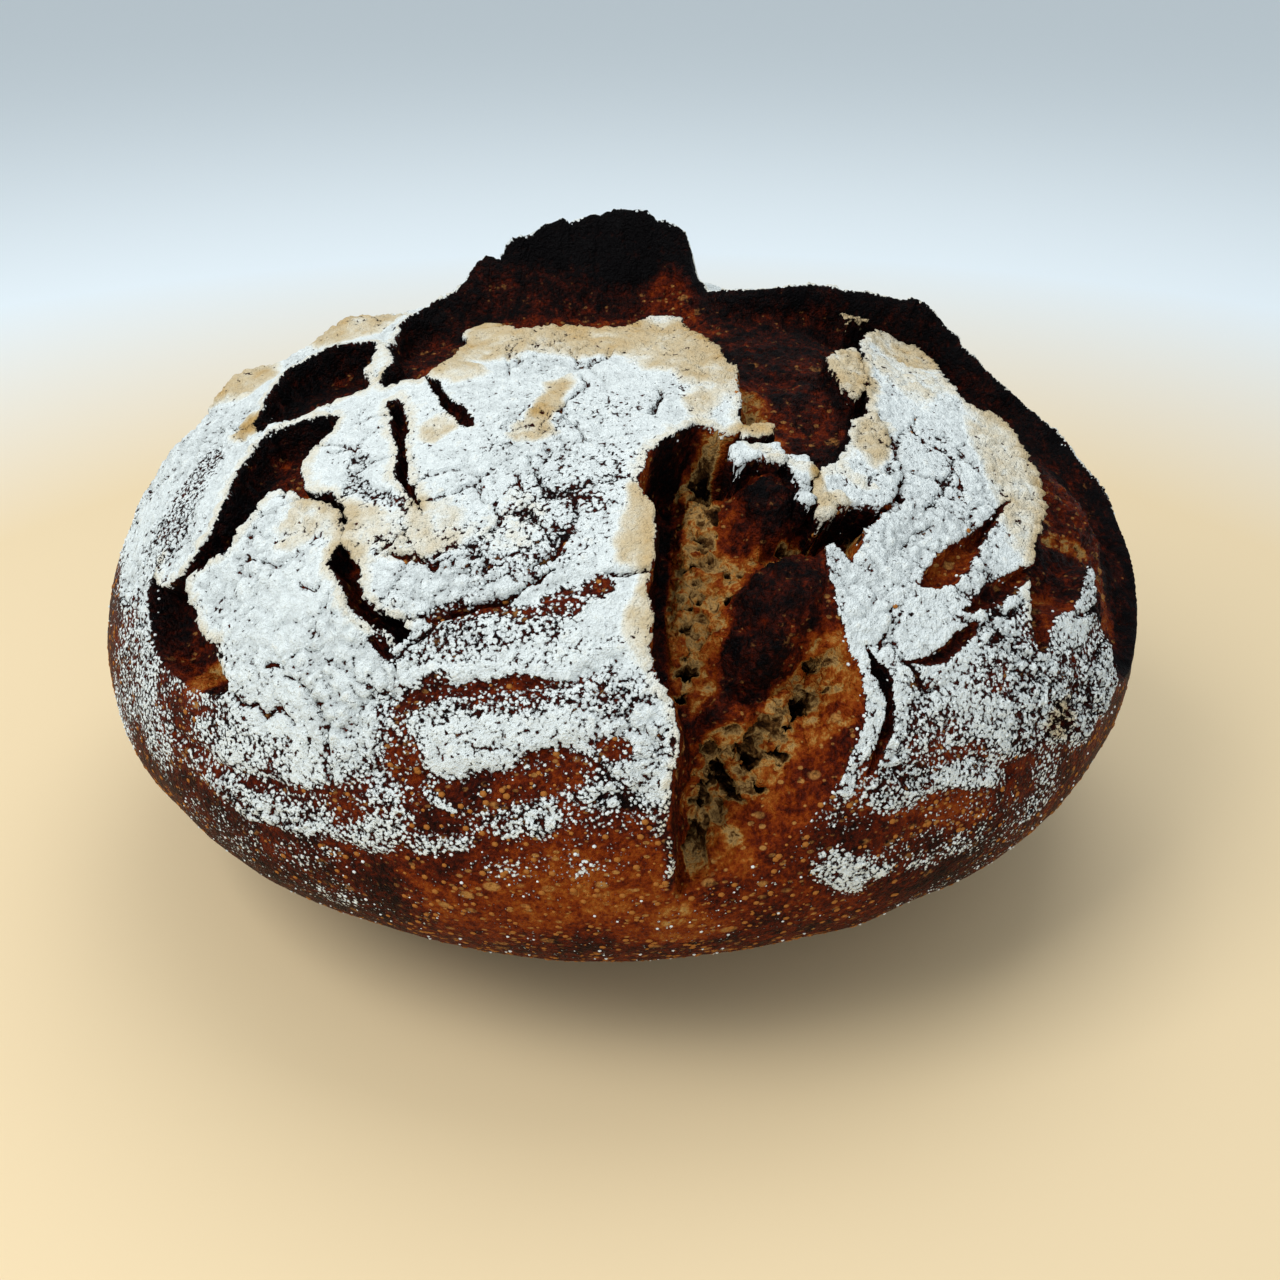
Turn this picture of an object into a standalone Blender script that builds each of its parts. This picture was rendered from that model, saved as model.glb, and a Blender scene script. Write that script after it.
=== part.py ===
"""A round sourdough loaf, 230 mm wide: one solid.

The loaf is a rounded dome on a flat base.  Its crust has torn open along the crown, down the
front and down the left side, and the flap behind the crown tear has lifted into a tall ear.

Lengths are in millimetres until the mesh is made, which is in metres.  Every tear is drawn on
the skin chart: (a, b) is the distance along the crust from the top of the dome, with a to the
right and b to the back, so a tear keeps its size wherever it lies on the loaf.
"""
import bmesh
import bpy
import numpy as np

MM = 0.001

# The plain dome
HALF_WIDTH = 115.0
FRONT_DEPTH = 106.0
BACK_DEPTH = 112.0
MIDDLE_HEIGHT = 49.0         # of the widest level, above the table
DOME_RISE = 65.0             # from the widest level up to the crown
SKIRT_DROP = 54.0            # down to where the skirt would close if the base were not flat
DOME_ROUNDNESS = 2.2         # exponents of the upper and lower half of the section
SKIRT_ROUNDNESS = 2.05
HEEL_RADIUS = 2.0            # rounding between the skirt and the flat base
FOOT_SPREAD = 0.30           # the foot is this much wider than the bare skirt would leave it
FOOT_HEIGHT = 14.0           # and no wider from this height up

# Swells and hollows of the whole skin: direction, height, reach in radians
SWELLS = [
    ((-0.35, -0.70, 0.62), 1.0, 0.40),
    ((0.74, 0.10, 0.60), -2.5, 0.20),
    ((0.55, 0.60, 0.58), 1.5, 0.45),
    ((-0.20, 0.95, 0.25), 1.5, 0.40),
]

LIP_REACH = 9.0              # how far from a tear its raised lip dies away
RAGGED = 1.6                 # how far a torn edge wanders from its outline
TORN_RELIEF = 1.3            # unevenness of a torn floor
SKIN_RELIEF = 0.5            # unevenness of the crust between the tears

# The ear: the rim of the flap behind the crown tear, as (a, height) from left to right
EAR_RIM = [(-54, 0), (-46, 2), (-34, 8), (-30, 11), (-24, 13.5), (-12, 17.5), (-5, 19),
           (6, 19.3), (11, 17.5), (14.5, 14.5), (16.5, 9.5), (18.5, 3.5), (21, 0)]
EAR_REACH = 26.0             # how far back the raised flap dies away
EAR_ROOT = (-11.0, 25.0, 17.0)   # middle, half width and height of the swell it grows from
EAR_ROOT_BACK = 18.0         # how far behind the rim the flap has become that swell
EAR_FOOT = 6.0               # b where the flap starts, and the width over which it does
EAR_FOOT_WIDTH = 10.0

# Each tear: floor depth, then its outline as (a, b, lip height, wall width)
CROWN_TEAR = (-4.0, [
    (-47, -22, 1.0, 3), (-40, -24, 1.5, 3), (-33, -16, 2.0, 3), (-29, -3, 2.0, 3),
    (-20, -5, 2.5, 3), (-4, -5, 2.5, 3), (5, 0, 2.8, 4), (11, 1, 2.8, 4), (17, -12, 2.5, 3),
    (21, -24, 2.5, 3), (22, -45, 1.5, 3), (30, -54, 1.0, 4), (41, -52, 1.0, 3),
    (46, -39, 1.0, 3), (51, -19, 1.5, 3), (54, 5, 1.8, 3), (60, 22, 2.0, 4), (66, 24, 2.0, 4),
    (70, -10, 2.0, 4), (80, -16, 2.0, 3), (86, -35, 2.0, 3), (81, -68, 1.5, 4),
    (87, -76, 0.0, 4), (95, -62, 0.0, 4), (101, -50, 0.0, 4), (111, -61, 0.0, 5),
    (121, -62, 0.0, 5), (131, -48, 1.0, 6), (131, -30, 1.8, 8), (120, -8, 2.0, 9),
    (102, 8, 2.5, 10), (84, 20, 5.5, 11), (77, 25, 8.5, 11), (70, 29, 11.5, 12),
    (62, 31, 9.5, 12), (52, 30, 8.0, 12), (40, 28, 6.5, 12), (26, 24, 4.2, 11),
    (12, 33, 0.5, 15), (0, 34, 0.5, 16), (-16, 31, 0.5, 15), (-30, 27, 0.5, 14),
    (-42, 22, 1.0, 8), (-49, 15, 2.0, 3), (-48, -6, 1.2, 2),
])
FRONT_TEAR = (-9.0, [
    (13, -45, 2.0, 3), (6, -53, 3.0, 3), (2.4, -61, 3.0, 3), (4.4, -71, 3.0, 3),
    (2.8, -86, 2.8, 3), (4, -99, 2.5, 3), (9.5, -109, 2.0, 6), (8.5, -124, 1.2, 8),
    (13, -139, 0.3, 3), (22, -134, 0.0, 8), (34, -125, 0.0, 13), (43, -111, 0.0, 13),
    (43.5, -96, 0.5, 9), (37.6, -76, 0.5, 4), (44.5, -71, 0.5, 4), (50.5, -60, 0.5, 3),
    (43, -55, 1.0, 3), (31, -48, 1.0, 3), (22.5, -44, 1.5, 3),
])
UPPER_CRESCENT = (-4.0, [
    (-52, 2.5, 2.5, 3), (-61, 6.5, 4.5, 4), (-70, 2, 4.0, 4), (-76, -10, 3.0, 3),
    (-78, -19, 1.0, 3), (-71, -22.5, 0.5, 3), (-56, -21, 0.8, 3), (-51, -17, 1.0, 2),
])
SIDE_CRESCENT = (-5.5, [
    (-56, -28.5, 0.8, 3), (-71, -26, 1.0, 3), (-76.5, -38, 2.0, 3), (-80, -50.5, 2.0, 3),
    (-89, -58, 1.5, 3), (-95.5, -53, 1.2, 3), (-100, -54, 0.5, 4), (-98, -70, 0.5, 4),
    (-88, -82, 0.5, 4), (-79, -87, 0.5, 3), (-82.5, -69, 2.0, 3), (-76, -61.5, 2.0, 3),
    (-67, -50.5, 2.0, 3), (-60, -46, 1.2, 3), (-57, -36, 0.8, 3),
])
CHEEK_TEAR = (-4.5, [
    (-52, -66, 0.8, 3), (-53, -73, 1.0, 3), (-50, -81, 1.5, 3), (-40, -90.5, 0.5, 3),
    (-38, -88, 0.5, 3), (-45.5, -77, 1.5, 3),
])
BROW_TEAR = (-3.2, [
    (-45.5, -30, 0.8, 2), (-43, -46, 0.8, 2), (-36, -64.5, 0.5, 2), (-39, -52, 0.8, 2),
    (-40, -40, 0.8, 2), (-43, -29, 0.8, 2),
])
TEMPLE_SLIT = (-1.8, [
    (78, -46, 0.5, 2), (67, -59, 0.5, 2), (55, -76, 0.5, 2), (66, -69, 0.5, 2),
    (74, -54, 0.5, 2),
])
BACK_LEFT_TEAR = (-4.5, [
    (-62, 30, 1.0, 4), (-78, 33, 1.5, 4), (-95, 44, 1.5, 4), (-107, 66, 1.0, 5),
    (-104, 84, 0.5, 5), (-97, 68, 2.0, 4), (-84, 53, 2.5, 4), (-66, 42, 2.5, 4),
])
BACK_RIGHT_TEAR = (-4.5, [
    (30, 52, 1.0, 4), (46, 55, 2.0, 4), (56, 70, 2.5, 4), (64, 92, 2.0, 4),
    (60, 118, 0.5, 5), (52, 104, 0.5, 5), (47, 82, 0.5, 6), (36, 66, 0.5, 6),
])
TEARS = [CROWN_TEAR, FRONT_TEAR, UPPER_CRESCENT, SIDE_CRESCENT, CHEEK_TEAR, BROW_TEAR,
         TEMPLE_SLIT, BACK_LEFT_TEAR, BACK_RIGHT_TEAR]

# Dough that swelled up inside the tears: a, b, half length, half width, turn, height
SWOLLEN_DOUGH = [
    (28, -60, 10, 7.5, 0.0, 9.5),
    (31, -84, 15, 9, -0.35, 10.5),
    (22, -106, 6, 5, 0.3, 4.0),
    (36, 6, 20, 14, 0.2, 2.5),
    (45, -22, 12, 9, 1.2, 2.0),
    (100, -24, 16, 8, 1.1, 2.0),
]
# Flakes that stand up from the crust between the tears, in the same order
KNOLLS = [
    (-87, 12, 6, 9, 1.0, 4.5),
    (-62, 26, 7, 9, 0.3, 4.5),
]
# A scrap of crust that still bridges the top of the front tear: its line, half width, level
BRIDGE = [(25, -51), (33, -56), (38, -61), (47, -57), (49, -40)]
BRIDGE_HALF_WIDTH = 4.0
BRIDGE_LEVEL = 1.6

FACES_ALONG_EDGE = 64        # of the cube that is rounded into the loaf
TRIANGLES = 9000


def smooth_step(value):
    """Rise from 0 to 1 with level ends as the value goes from 0 to 1."""
    clipped = np.clip(value, 0.0, 1.0)
    return clipped * clipped * (3.0 - 2.0 * clipped)


def lattice_value(cell, seed):
    """A fixed pseudo-random number in -1..1 for each whole-numbered cell corner."""
    mixed = (cell[:, 0] * 73856093) ^ (cell[:, 1] * 19349663) ^ (cell[:, 2] * 83492791)
    mixed = (mixed ^ (seed * 2654435761)) & 0xFFFFFFFF
    mixed = ((mixed ^ (mixed >> 13)) * 1274126177) & 0xFFFFFFFF
    return ((mixed ^ (mixed >> 16)) & 0xFFFF) / 32767.5 - 1.0


def noise(points, grain, seed):
    """Smooth noise in -1..1 with about one bump every `grain` millimetres."""
    scaled = points / grain
    cell = np.floor(scaled).astype(np.int64)
    blend = smooth_step(scaled - cell)
    total = np.zeros(len(points))
    for corner in np.ndindex(2, 2, 2):
        weight = np.prod(np.where(corner, blend, 1.0 - blend), axis=1)
        total += weight * lattice_value(cell + np.array(corner), seed)
    return total


def plain_loaf(direction):
    """Where a ray from the loaf's middle leaves the plain dome; the base isn't flat yet."""
    x, y, z = direction.T
    depth = np.where(y < 0.0, FRONT_DEPTH, BACK_DEPTH)
    rise = np.where(z > 0.0, DOME_RISE, SKIRT_DROP)
    roundness = np.where(z > 0.0, DOME_ROUNDNESS, SKIRT_ROUNDNESS)
    plan = np.hypot(x / HALF_WIDTH, y / depth)
    reach = (plan ** roundness + np.abs(z / rise) ** roundness) ** (-1.0 / roundness)
    return direction * reach[:, None]


def plain_normal(point):
    """The outward normal of the plain dome."""
    x, y, z = point.T
    depth = np.where(y < 0.0, FRONT_DEPTH, BACK_DEPTH)
    rise = np.where(z > 0.0, DOME_RISE, SKIRT_DROP)
    roundness = np.where(z > 0.0, DOME_ROUNDNESS, SKIRT_ROUNDNESS)
    plan = np.maximum(np.hypot(x / HALF_WIDTH, y / depth), 1e-6)
    along = plan ** (roundness - 2.0)
    slope = np.stack([along * x / HALF_WIDTH ** 2, along * y / depth ** 2,
                      np.sign(z) * np.abs(z / rise) ** (roundness - 1.0) / rise], axis=1)
    return slope / np.linalg.norm(slope, axis=1)[:, None]


def skin_chart(direction, steps=24):
    """Distance along the crust from the crown, laid out in the direction it was walked."""
    heading = np.arctan2(direction[:, 1], direction[:, 0])
    tilt = np.arccos(np.clip(direction[:, 2], -1.0, 1.0))
    walked = np.zeros(len(direction))
    last = None
    for step in range(steps + 1):
        angle = tilt * step / steps
        ray = np.stack([np.sin(angle) * np.cos(heading), np.sin(angle) * np.sin(heading),
                        np.cos(angle)], axis=1)
        here = plain_loaf(ray)
        if last is not None:
            walked += np.linalg.norm(here - last, axis=1)
        last = here
    return walked[:, None] * np.stack([np.cos(heading), np.sin(heading)], axis=1)


def closed_curve(outline, pieces=5):
    """A smooth closed curve through the outline's rows."""
    knots = np.array(outline, float)
    before, after, beyond = (np.roll(knots, shift, axis=0) for shift in (1, -1, -2))
    rows = []
    for step in range(pieces):
        t = step / pieces
        rows.append(0.5 * (2 * knots + (after - before) * t
                           + (2 * before - 5 * knots + 4 * after - beyond) * t ** 2
                           + (3 * knots - before - 3 * after + beyond) * t ** 3))
    return np.stack(rows, axis=1).reshape(-1, knots.shape[1])


def measure_outline(chart, outline):
    """Signed distance to a closed outline, positive outside, with its lip and wall there."""
    curve = closed_curve(outline)
    nearest = np.full(len(chart), np.inf)
    lip = np.zeros(len(chart))
    wall = np.ones(len(chart))
    inside = np.zeros(len(chart), bool)
    for start, end in zip(curve, np.roll(curve, -1, axis=0)):
        run = end[:2] - start[:2]
        offset = chart - start[:2]
        along = np.clip(offset @ run / (run @ run), 0.0, 1.0)
        distance = np.linalg.norm(offset - along[:, None] * run, axis=1)
        closer = distance < nearest
        nearest = np.where(closer, distance, nearest)
        lip = np.where(closer, start[2] + along * (end[2] - start[2]), lip)
        wall = np.where(closer, start[3] + along * (end[3] - start[3]), wall)
        spans = (start[1] > chart[:, 1]) != (end[1] > chart[:, 1])
        rise = run[1] if run[1] else 1e-9
        crossing = start[0] + (chart[:, 1] - start[1]) / rise * run[0]
        inside ^= spans & (chart[:, 0] < crossing)
    return np.where(inside, -nearest, nearest), np.maximum(lip, 0.0), wall


def ear_height(chart, gap):
    """The flap behind the crown tear: tallest at its rim and falling away towards the back."""
    across, height = zip(*EAR_RIM)
    middle, half_width, root_height = EAR_ROOT
    behind = np.maximum(gap, 0.0)
    rim = np.interp(chart[:, 0], across, height)
    root = root_height * np.exp(-((chart[:, 0] - middle) / half_width) ** 2)
    flap = rim + (root - rim) * smooth_step(behind / EAR_ROOT_BACK)
    foot = smooth_step((chart[:, 1] - EAR_FOOT) / EAR_FOOT_WIDTH)
    return flap * foot * np.exp(-behind / EAR_REACH)


def ovals(chart, swellings, power):
    """Rounded ovals of dough, the tallest taking over where they meet."""
    total = np.zeros(len(chart))
    for a, b, half_length, half_width, turn, rise in swellings:
        offset = chart - (a, b)
        along = offset @ (np.sin(turn), -np.cos(turn)) / half_length
        across = offset @ (np.cos(turn), np.sin(turn)) / half_width
        total = np.maximum(total, rise * np.exp(-np.hypot(along, across) ** power))
    return total


def bridged(chart, height):
    """Lift the floor of the front tear to the crust that still spans it."""
    nearest = np.full(len(chart), np.inf)
    for start, end in zip(BRIDGE[:-1], BRIDGE[1:]):
        run = np.subtract(end, start).astype(float)
        offset = chart - start
        along = np.clip(offset @ run / (run @ run), 0.0, 1.0)
        nearest = np.minimum(nearest, np.linalg.norm(offset - along[:, None] * run, axis=1))
    on_top = smooth_step((BRIDGE_HALF_WIDTH + 0.5 - nearest) / 1.5)
    return height + (BRIDGE_LEVEL - height) * on_top


def skin_height(chart, point):
    """How far the crust stands out from the plain dome."""
    wander = RAGGED * np.stack([noise(point, 9.0, 1) + 0.5 * noise(point, 3.5, 2),
                                noise(point, 9.0, 3) + 0.5 * noise(point, 3.5, 4)], axis=1)
    ragged_chart = chart + wander
    lifted, sunk, torn = np.zeros((3, len(point)))
    for floor, outline in TEARS:
        gap, lip, wall = measure_outline(ragged_chart, outline)
        down = smooth_step(-gap / wall)
        rise = lip * np.exp(-np.maximum(gap, 0.0) / LIP_REACH)
        if outline is CROWN_TEAR[1]:
            rise += ear_height(ragged_chart, gap)
        lifted = np.maximum(lifted * (1.0 - down), rise * (1.0 - down) * (1.0 - torn))
        sunk = np.minimum(sunk, floor * down)
        torn = np.maximum(torn, down)
    rough = noise(point, 7.0, 7) + 0.6 * noise(point, 3.5, 8)
    height = lifted + sunk + torn * (ovals(ragged_chart, SWOLLEN_DOUGH, 3) + TORN_RELIEF * rough)
    height += (1.0 - torn) * ovals(ragged_chart, KNOLLS, 2)
    height = bridged(ragged_chart, height)
    return height + SKIN_RELIEF * (noise(point, 24.0, 5) + 0.7 * noise(point, 11.0, 6))


def swell_height(direction):
    """Broad swells and hollows of the whole skin."""
    total = np.zeros(len(direction))
    for towards, height, reach in SWELLS:
        axis = np.array(towards) / np.linalg.norm(towards)
        angle = np.arccos(np.clip(direction @ axis, -1.0, 1.0))
        total += height * np.exp(-(angle / reach) ** 2)
    return total


def flatten_base(z):
    """Lay everything below the table on it, with a rounded heel."""
    raised = np.maximum(z + HEEL_RADIUS, 0.0)
    return np.where(z < HEEL_RADIUS, raised ** 2 / (4.0 * HEEL_RADIUS), z)


def loaf_surface(direction):
    """The loaf's surface in each direction from its middle, standing on z = 0."""
    plain = plain_loaf(direction)
    normal = plain_normal(plain)
    height = swell_height(direction) + skin_height(skin_chart(direction), plain)
    points = plain + height[:, None] * normal
    points[:, 2] = flatten_base(points[:, 2] + MIDDLE_HEIGHT)
    low = np.clip(1.0 - points[:, 2] / FOOT_HEIGHT, 0.0, 1.0)
    points[:, :2] *= (1.0 + FOOT_SPREAD * low ** 2)[:, None]
    return points


def clear_scene():
    for thing in list(bpy.data.objects):
        bpy.data.objects.remove(thing, do_unlink=True)


def crust_material():
    material = bpy.data.materials.new("browned floured crust")
    material.use_nodes = True
    shader = material.node_tree.nodes["Principled BSDF"]
    shader.inputs["Base Color"].default_value = (0.42, 0.30, 0.19, 1.0)
    shader.inputs["Roughness"].default_value = 0.8
    shader.inputs["Metallic"].default_value = 0.0
    return material


def rounded_cube():
    """A cube cut into even squares and pushed out to a unit ball."""
    ball = bmesh.new()
    bmesh.ops.create_cube(ball, size=2.0)
    bmesh.ops.subdivide_edges(ball, edges=ball.edges[:], cuts=FACES_ALONG_EDGE - 1,
                              use_grid_fill=True)
    for corner in ball.verts:
        corner.co = [np.tan(part * np.pi / 4.0) for part in corner.co]
        corner.co.normalize()
    return ball


def make_loaf(collection):
    """Round a cube into the loaf, thin its triangles and centre it on the origin."""
    ball = rounded_cube()
    mesh = bpy.data.meshes.new("loaf fine")
    ball.to_mesh(mesh)
    ball.free()
    direction = np.empty(len(mesh.vertices) * 3)
    mesh.vertices.foreach_get("co", direction)
    points = loaf_surface(direction.reshape(-1, 3)) * MM
    mesh.vertices.foreach_set("co", points.ravel())
    fine = bpy.data.objects.new("loaf fine", mesh)
    collection.objects.link(fine)
    thin = fine.modifiers.new("thin", "DECIMATE")
    thin.ratio = TRIANGLES / (12.0 * FACES_ALONG_EDGE ** 2)
    view = bpy.context.evaluated_depsgraph_get()
    crust = bpy.data.meshes.new_from_object(fine.evaluated_get(view))
    bpy.data.objects.remove(fine, do_unlink=True)

    corners = np.empty(len(crust.vertices) * 3)
    crust.vertices.foreach_get("co", corners)
    corners = corners.reshape(-1, 3)
    low, high = corners.min(axis=0), corners.max(axis=0)
    corners -= ((low[0] + high[0]) / 2.0, (low[1] + high[1]) / 2.0, low[2])
    crust.vertices.foreach_set("co", corners.ravel())
    crust.materials.append(crust_material())
    crust.shade_smooth()
    loaf = bpy.data.objects.new("loaf", crust)
    collection.objects.link(loaf)
    return loaf


def main():
    clear_scene()
    collection = bpy.data.collections.new("sourdough loaf")
    bpy.context.scene.collection.children.link(collection)
    make_loaf(collection)


main()
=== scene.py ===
"""The looks of the sourdough loaf: its floured, torn and browned crust.

The crust is worked out once, as one surface over the skin chart: (a, b) is the distance in
millimetres along the crust from the top of the dome, a to the right and b to the back.  The
loaf's body and the finer stretches of crust laid over it all read that one surface, so they
meet without a seam.
"""

from math import cos, radians, sin

import bpy
import numpy as np
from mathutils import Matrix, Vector


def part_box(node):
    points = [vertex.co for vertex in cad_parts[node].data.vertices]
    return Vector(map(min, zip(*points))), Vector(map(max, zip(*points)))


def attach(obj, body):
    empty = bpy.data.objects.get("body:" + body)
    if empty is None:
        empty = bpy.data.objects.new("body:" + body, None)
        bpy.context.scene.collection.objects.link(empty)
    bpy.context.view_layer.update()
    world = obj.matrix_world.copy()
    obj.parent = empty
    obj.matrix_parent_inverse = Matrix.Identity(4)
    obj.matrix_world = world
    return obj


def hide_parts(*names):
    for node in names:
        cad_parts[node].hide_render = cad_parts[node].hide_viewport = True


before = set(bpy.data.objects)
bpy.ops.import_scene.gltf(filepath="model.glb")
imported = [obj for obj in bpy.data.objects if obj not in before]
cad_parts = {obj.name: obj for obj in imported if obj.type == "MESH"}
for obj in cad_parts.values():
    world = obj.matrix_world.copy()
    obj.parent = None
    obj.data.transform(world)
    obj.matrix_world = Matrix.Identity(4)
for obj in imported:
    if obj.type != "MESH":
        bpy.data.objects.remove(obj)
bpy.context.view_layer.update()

MM = 0.001
COARSER = 1.0     # grids are this much coarser while trying things

# ---------------------------------------------------------------------------------------
# The plain dome, as in the solid
# ---------------------------------------------------------------------------------------
HALF_WIDTH = 115.0
FRONT_DEPTH = 106.0
BACK_DEPTH = 112.0
MIDDLE_HEIGHT = 49.0
DOME_RISE = 65.0
SKIRT_DROP = 54.0
DOME_ROUNDNESS = 2.2
SKIRT_ROUNDNESS = 2.05
HEEL_RADIUS = 2.0
FOOT_SPREAD = 0.30           # the foot is this much wider than the bare skirt would leave it
FOOT_HEIGHT = 14.0           # and no wider from this height up

SWELLS = [
    ((-0.35, -0.70, 0.62), 1.0, 0.40),
    ((0.74, 0.10, 0.60), -2.5, 0.20),
    ((0.55, 0.60, 0.58), 1.5, 0.45),
    ((-0.20, 0.95, 0.25), 1.5, 0.40),
]

LIP_REACH = 9.0
EAR_RIM = [(-54, 0), (-46, 2), (-38, 5), (-34, 8), (-31, 11.5), (-26, 11), (-24, 13.5),
           (-19, 15), (-12, 17.5), (-5, 19), (6, 19.3), (11, 17.5), (14.5, 14.5), (16.5, 9.5),
           (18.5, 3.5), (21, 0)]
EAR_REACH = 26.0
EAR_ROOT = (-11.0, 25.0, 17.0)
EAR_ROOT_BACK = 18.0
EAR_FOOT = 6.0
EAR_FOOT_WIDTH = 10.0

# ---------------------------------------------------------------------------------------
# The tears: floor depth, bake of the floor, then the outline as (a, b, lip height, wall width)
# ---------------------------------------------------------------------------------------
CROWN_TEAR = (-4.0, 0.86, [
    (-47, -22, 1.0, 3), (-43, -22, 1.5, 3), (-40, -24, 1.5, 3), (-36, -21, 2.0, 3),
    (-33, -16, 2.0, 3), (-31, -9, 2.0, 3), (-29, -3, 2.0, 3), (-24, -3, 2.5, 3),
    (-20, -5, 2.5, 3), (-13, -4, 2.5, 3), (-4, -5, 2.5, 3), (1, -4, 2.5, 4), (5, 0, 2.8, 4),
    (8, 3, 2.8, 4), (11, 1, 2.8, 4), (13, -6, 2.5, 3), (17, -12, 2.5, 3), (19, -18, 2.5, 3),
    (21, -24, 2.5, 3), (22, -31, 2.0, 3), (22, -38, 2.0, 3), (22, -45, 1.5, 3),
    (24, -50, 1.0, 4), (30, -54, 1.0, 4), (36, -55, 1.0, 3), (41, -52, 1.0, 3),
    (44, -45, 1.0, 3), (46, -39, 1.0, 3), (49.5, -33, 1.0, 3), (50.5, -28, 1.5, 3),
    (51, -19, 1.5, 3), (52, -7, 1.5, 3), (54, 5, 1.8, 3), (57, 15, 2.0, 4), (60, 22, 2.0, 4),
    (64.5, 25, 2.0, 4), (69, 21, 2.5, 4), (71, 13, 2.5, 4), (70.5, 0, 2.5, 4),
    (70.5, -11, 2.0, 4), (73, -16.5, 2.0, 3), (77, -18, 2.0, 3), (80, -15.5, 2.0, 3),
    (82.5, -20, 2.0, 3), (83.5, -28, 2.0, 3), (86, -35, 2.0, 3), (85.5, -43, 1.5, 3),
    (83, -53, 1.5, 3), (81, -63, 1.5, 4), (81, -73, 0.8, 4), (84, -78, 0.3, 4),
    (87, -76, 0.0, 4), (90, -68, 0.0, 4), (95, -62, 0.0, 4), (99, -51, 0.0, 4),
    (101.5, -50, 0.0, 4), (104, -58, 0.0, 4), (111, -61, 0.0, 5), (121, -62, 0.0, 5),
    (131, -48, 1.0, 6), (131, -30, 1.8, 8), (120, -8, 2.0, 9), (111, 1, 2.2, 9),
    (102, 8, 2.5, 10), (93, 14, 3.5, 10), (84, 20, 5.5, 11), (77, 25, 8.5, 11),
    (70, 29, 11.5, 12), (62, 31, 9.5, 12), (52, 30, 8.0, 12), (40, 28, 6.5, 12),
    (26, 24, 4.2, 11),
    (18, 29, 2.0, 13), (12, 33, 0.5, 15), (0, 34, 0.5, 16), (-16, 31, 0.5, 15),
    (-30, 27, 0.5, 14), (-42, 22, 1.0, 8), (-49, 15, 2.0, 3), (-49.5, 4, 1.5, 2),
    (-48, -6, 1.2, 2), (-48.5, -15, 1.0, 2),
])
FRONT_TEAR = (-9.0, 0.35, [
    (13, -45, 2.0, 3), (9, -49.5, 3.0, 3), (6, -53, 3.0, 3), (3.5, -57, 3.0, 3),
    (2.4, -61, 3.0, 3), (2.6, -66, 3.0, 3), (4.4, -71, 3.0, 3), (4, -77, 3.0, 3),
    (3.6, -82, 3.0, 3), (2.8, -86, 2.8, 3), (3.8, -93, 2.8, 3), (4, -99, 2.5, 3),
    (6.5, -104, 2.5, 4), (9.5, -109, 2.0, 6), (8.5, -116, 1.5, 8), (8.5, -124, 1.2, 8),
    (10, -131, 1.0, 6), (11.5, -137, 0.6, 4), (13, -139, 0.3, 3), (17, -137, 0.0, 5),
    (22, -134, 0.0, 8), (28, -130, 0.0, 11), (34, -125, 0.0, 13), (39, -119, 0.0, 14),
    (43, -111, 0.0, 13), (44.5, -102, 0.3, 10), (43.5, -96, 0.5, 9), (41, -90, 0.5, 8),
    (39, -83, 0.5, 6), (37.6, -76, 0.5, 4), (38.5, -72.5, 0.5, 3), (42, -75, 0.5, 3),
    (44.5, -71, 0.5, 4), (46, -66, 0.5, 4), (50.5, -60, 0.5, 3), (48, -57, 0.5, 3),
    (43, -55, 1.0, 3), (38, -51, 1.0, 3), (31, -48, 1.0, 3), (25, -45, 1.0, 3),
    (22.5, -44, 1.5, 3), (21, -47, 1.5, 3), (18, -46, 1.5, 3),
])
UPPER_CRESCENT = (-4.0, 0.84, [
    (-52, 2.5, 2.5, 3), (-56, 5.5, 3.5, 4), (-61, 6.5, 4.5, 4), (-66, 5, 4.0, 4),
    (-70, 2, 4.0, 4), (-73, -2, 4.0, 4), (-76, -10, 3.0, 3), (-77, -15, 1.5, 3),
    (-78, -19, 1.0, 3), (-74, -24, 0.5, 3), (-71, -22.5, 0.5, 3), (-67, -23.5, 0.5, 3),
    (-62, -22, 0.8, 3), (-56, -21, 0.8, 3), (-51, -20.5, 0.8, 3), (-51, -17, 1.0, 2),
    (-52.5, -12, 1.2, 2), (-52, -5, 1.5, 2),
])
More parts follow.
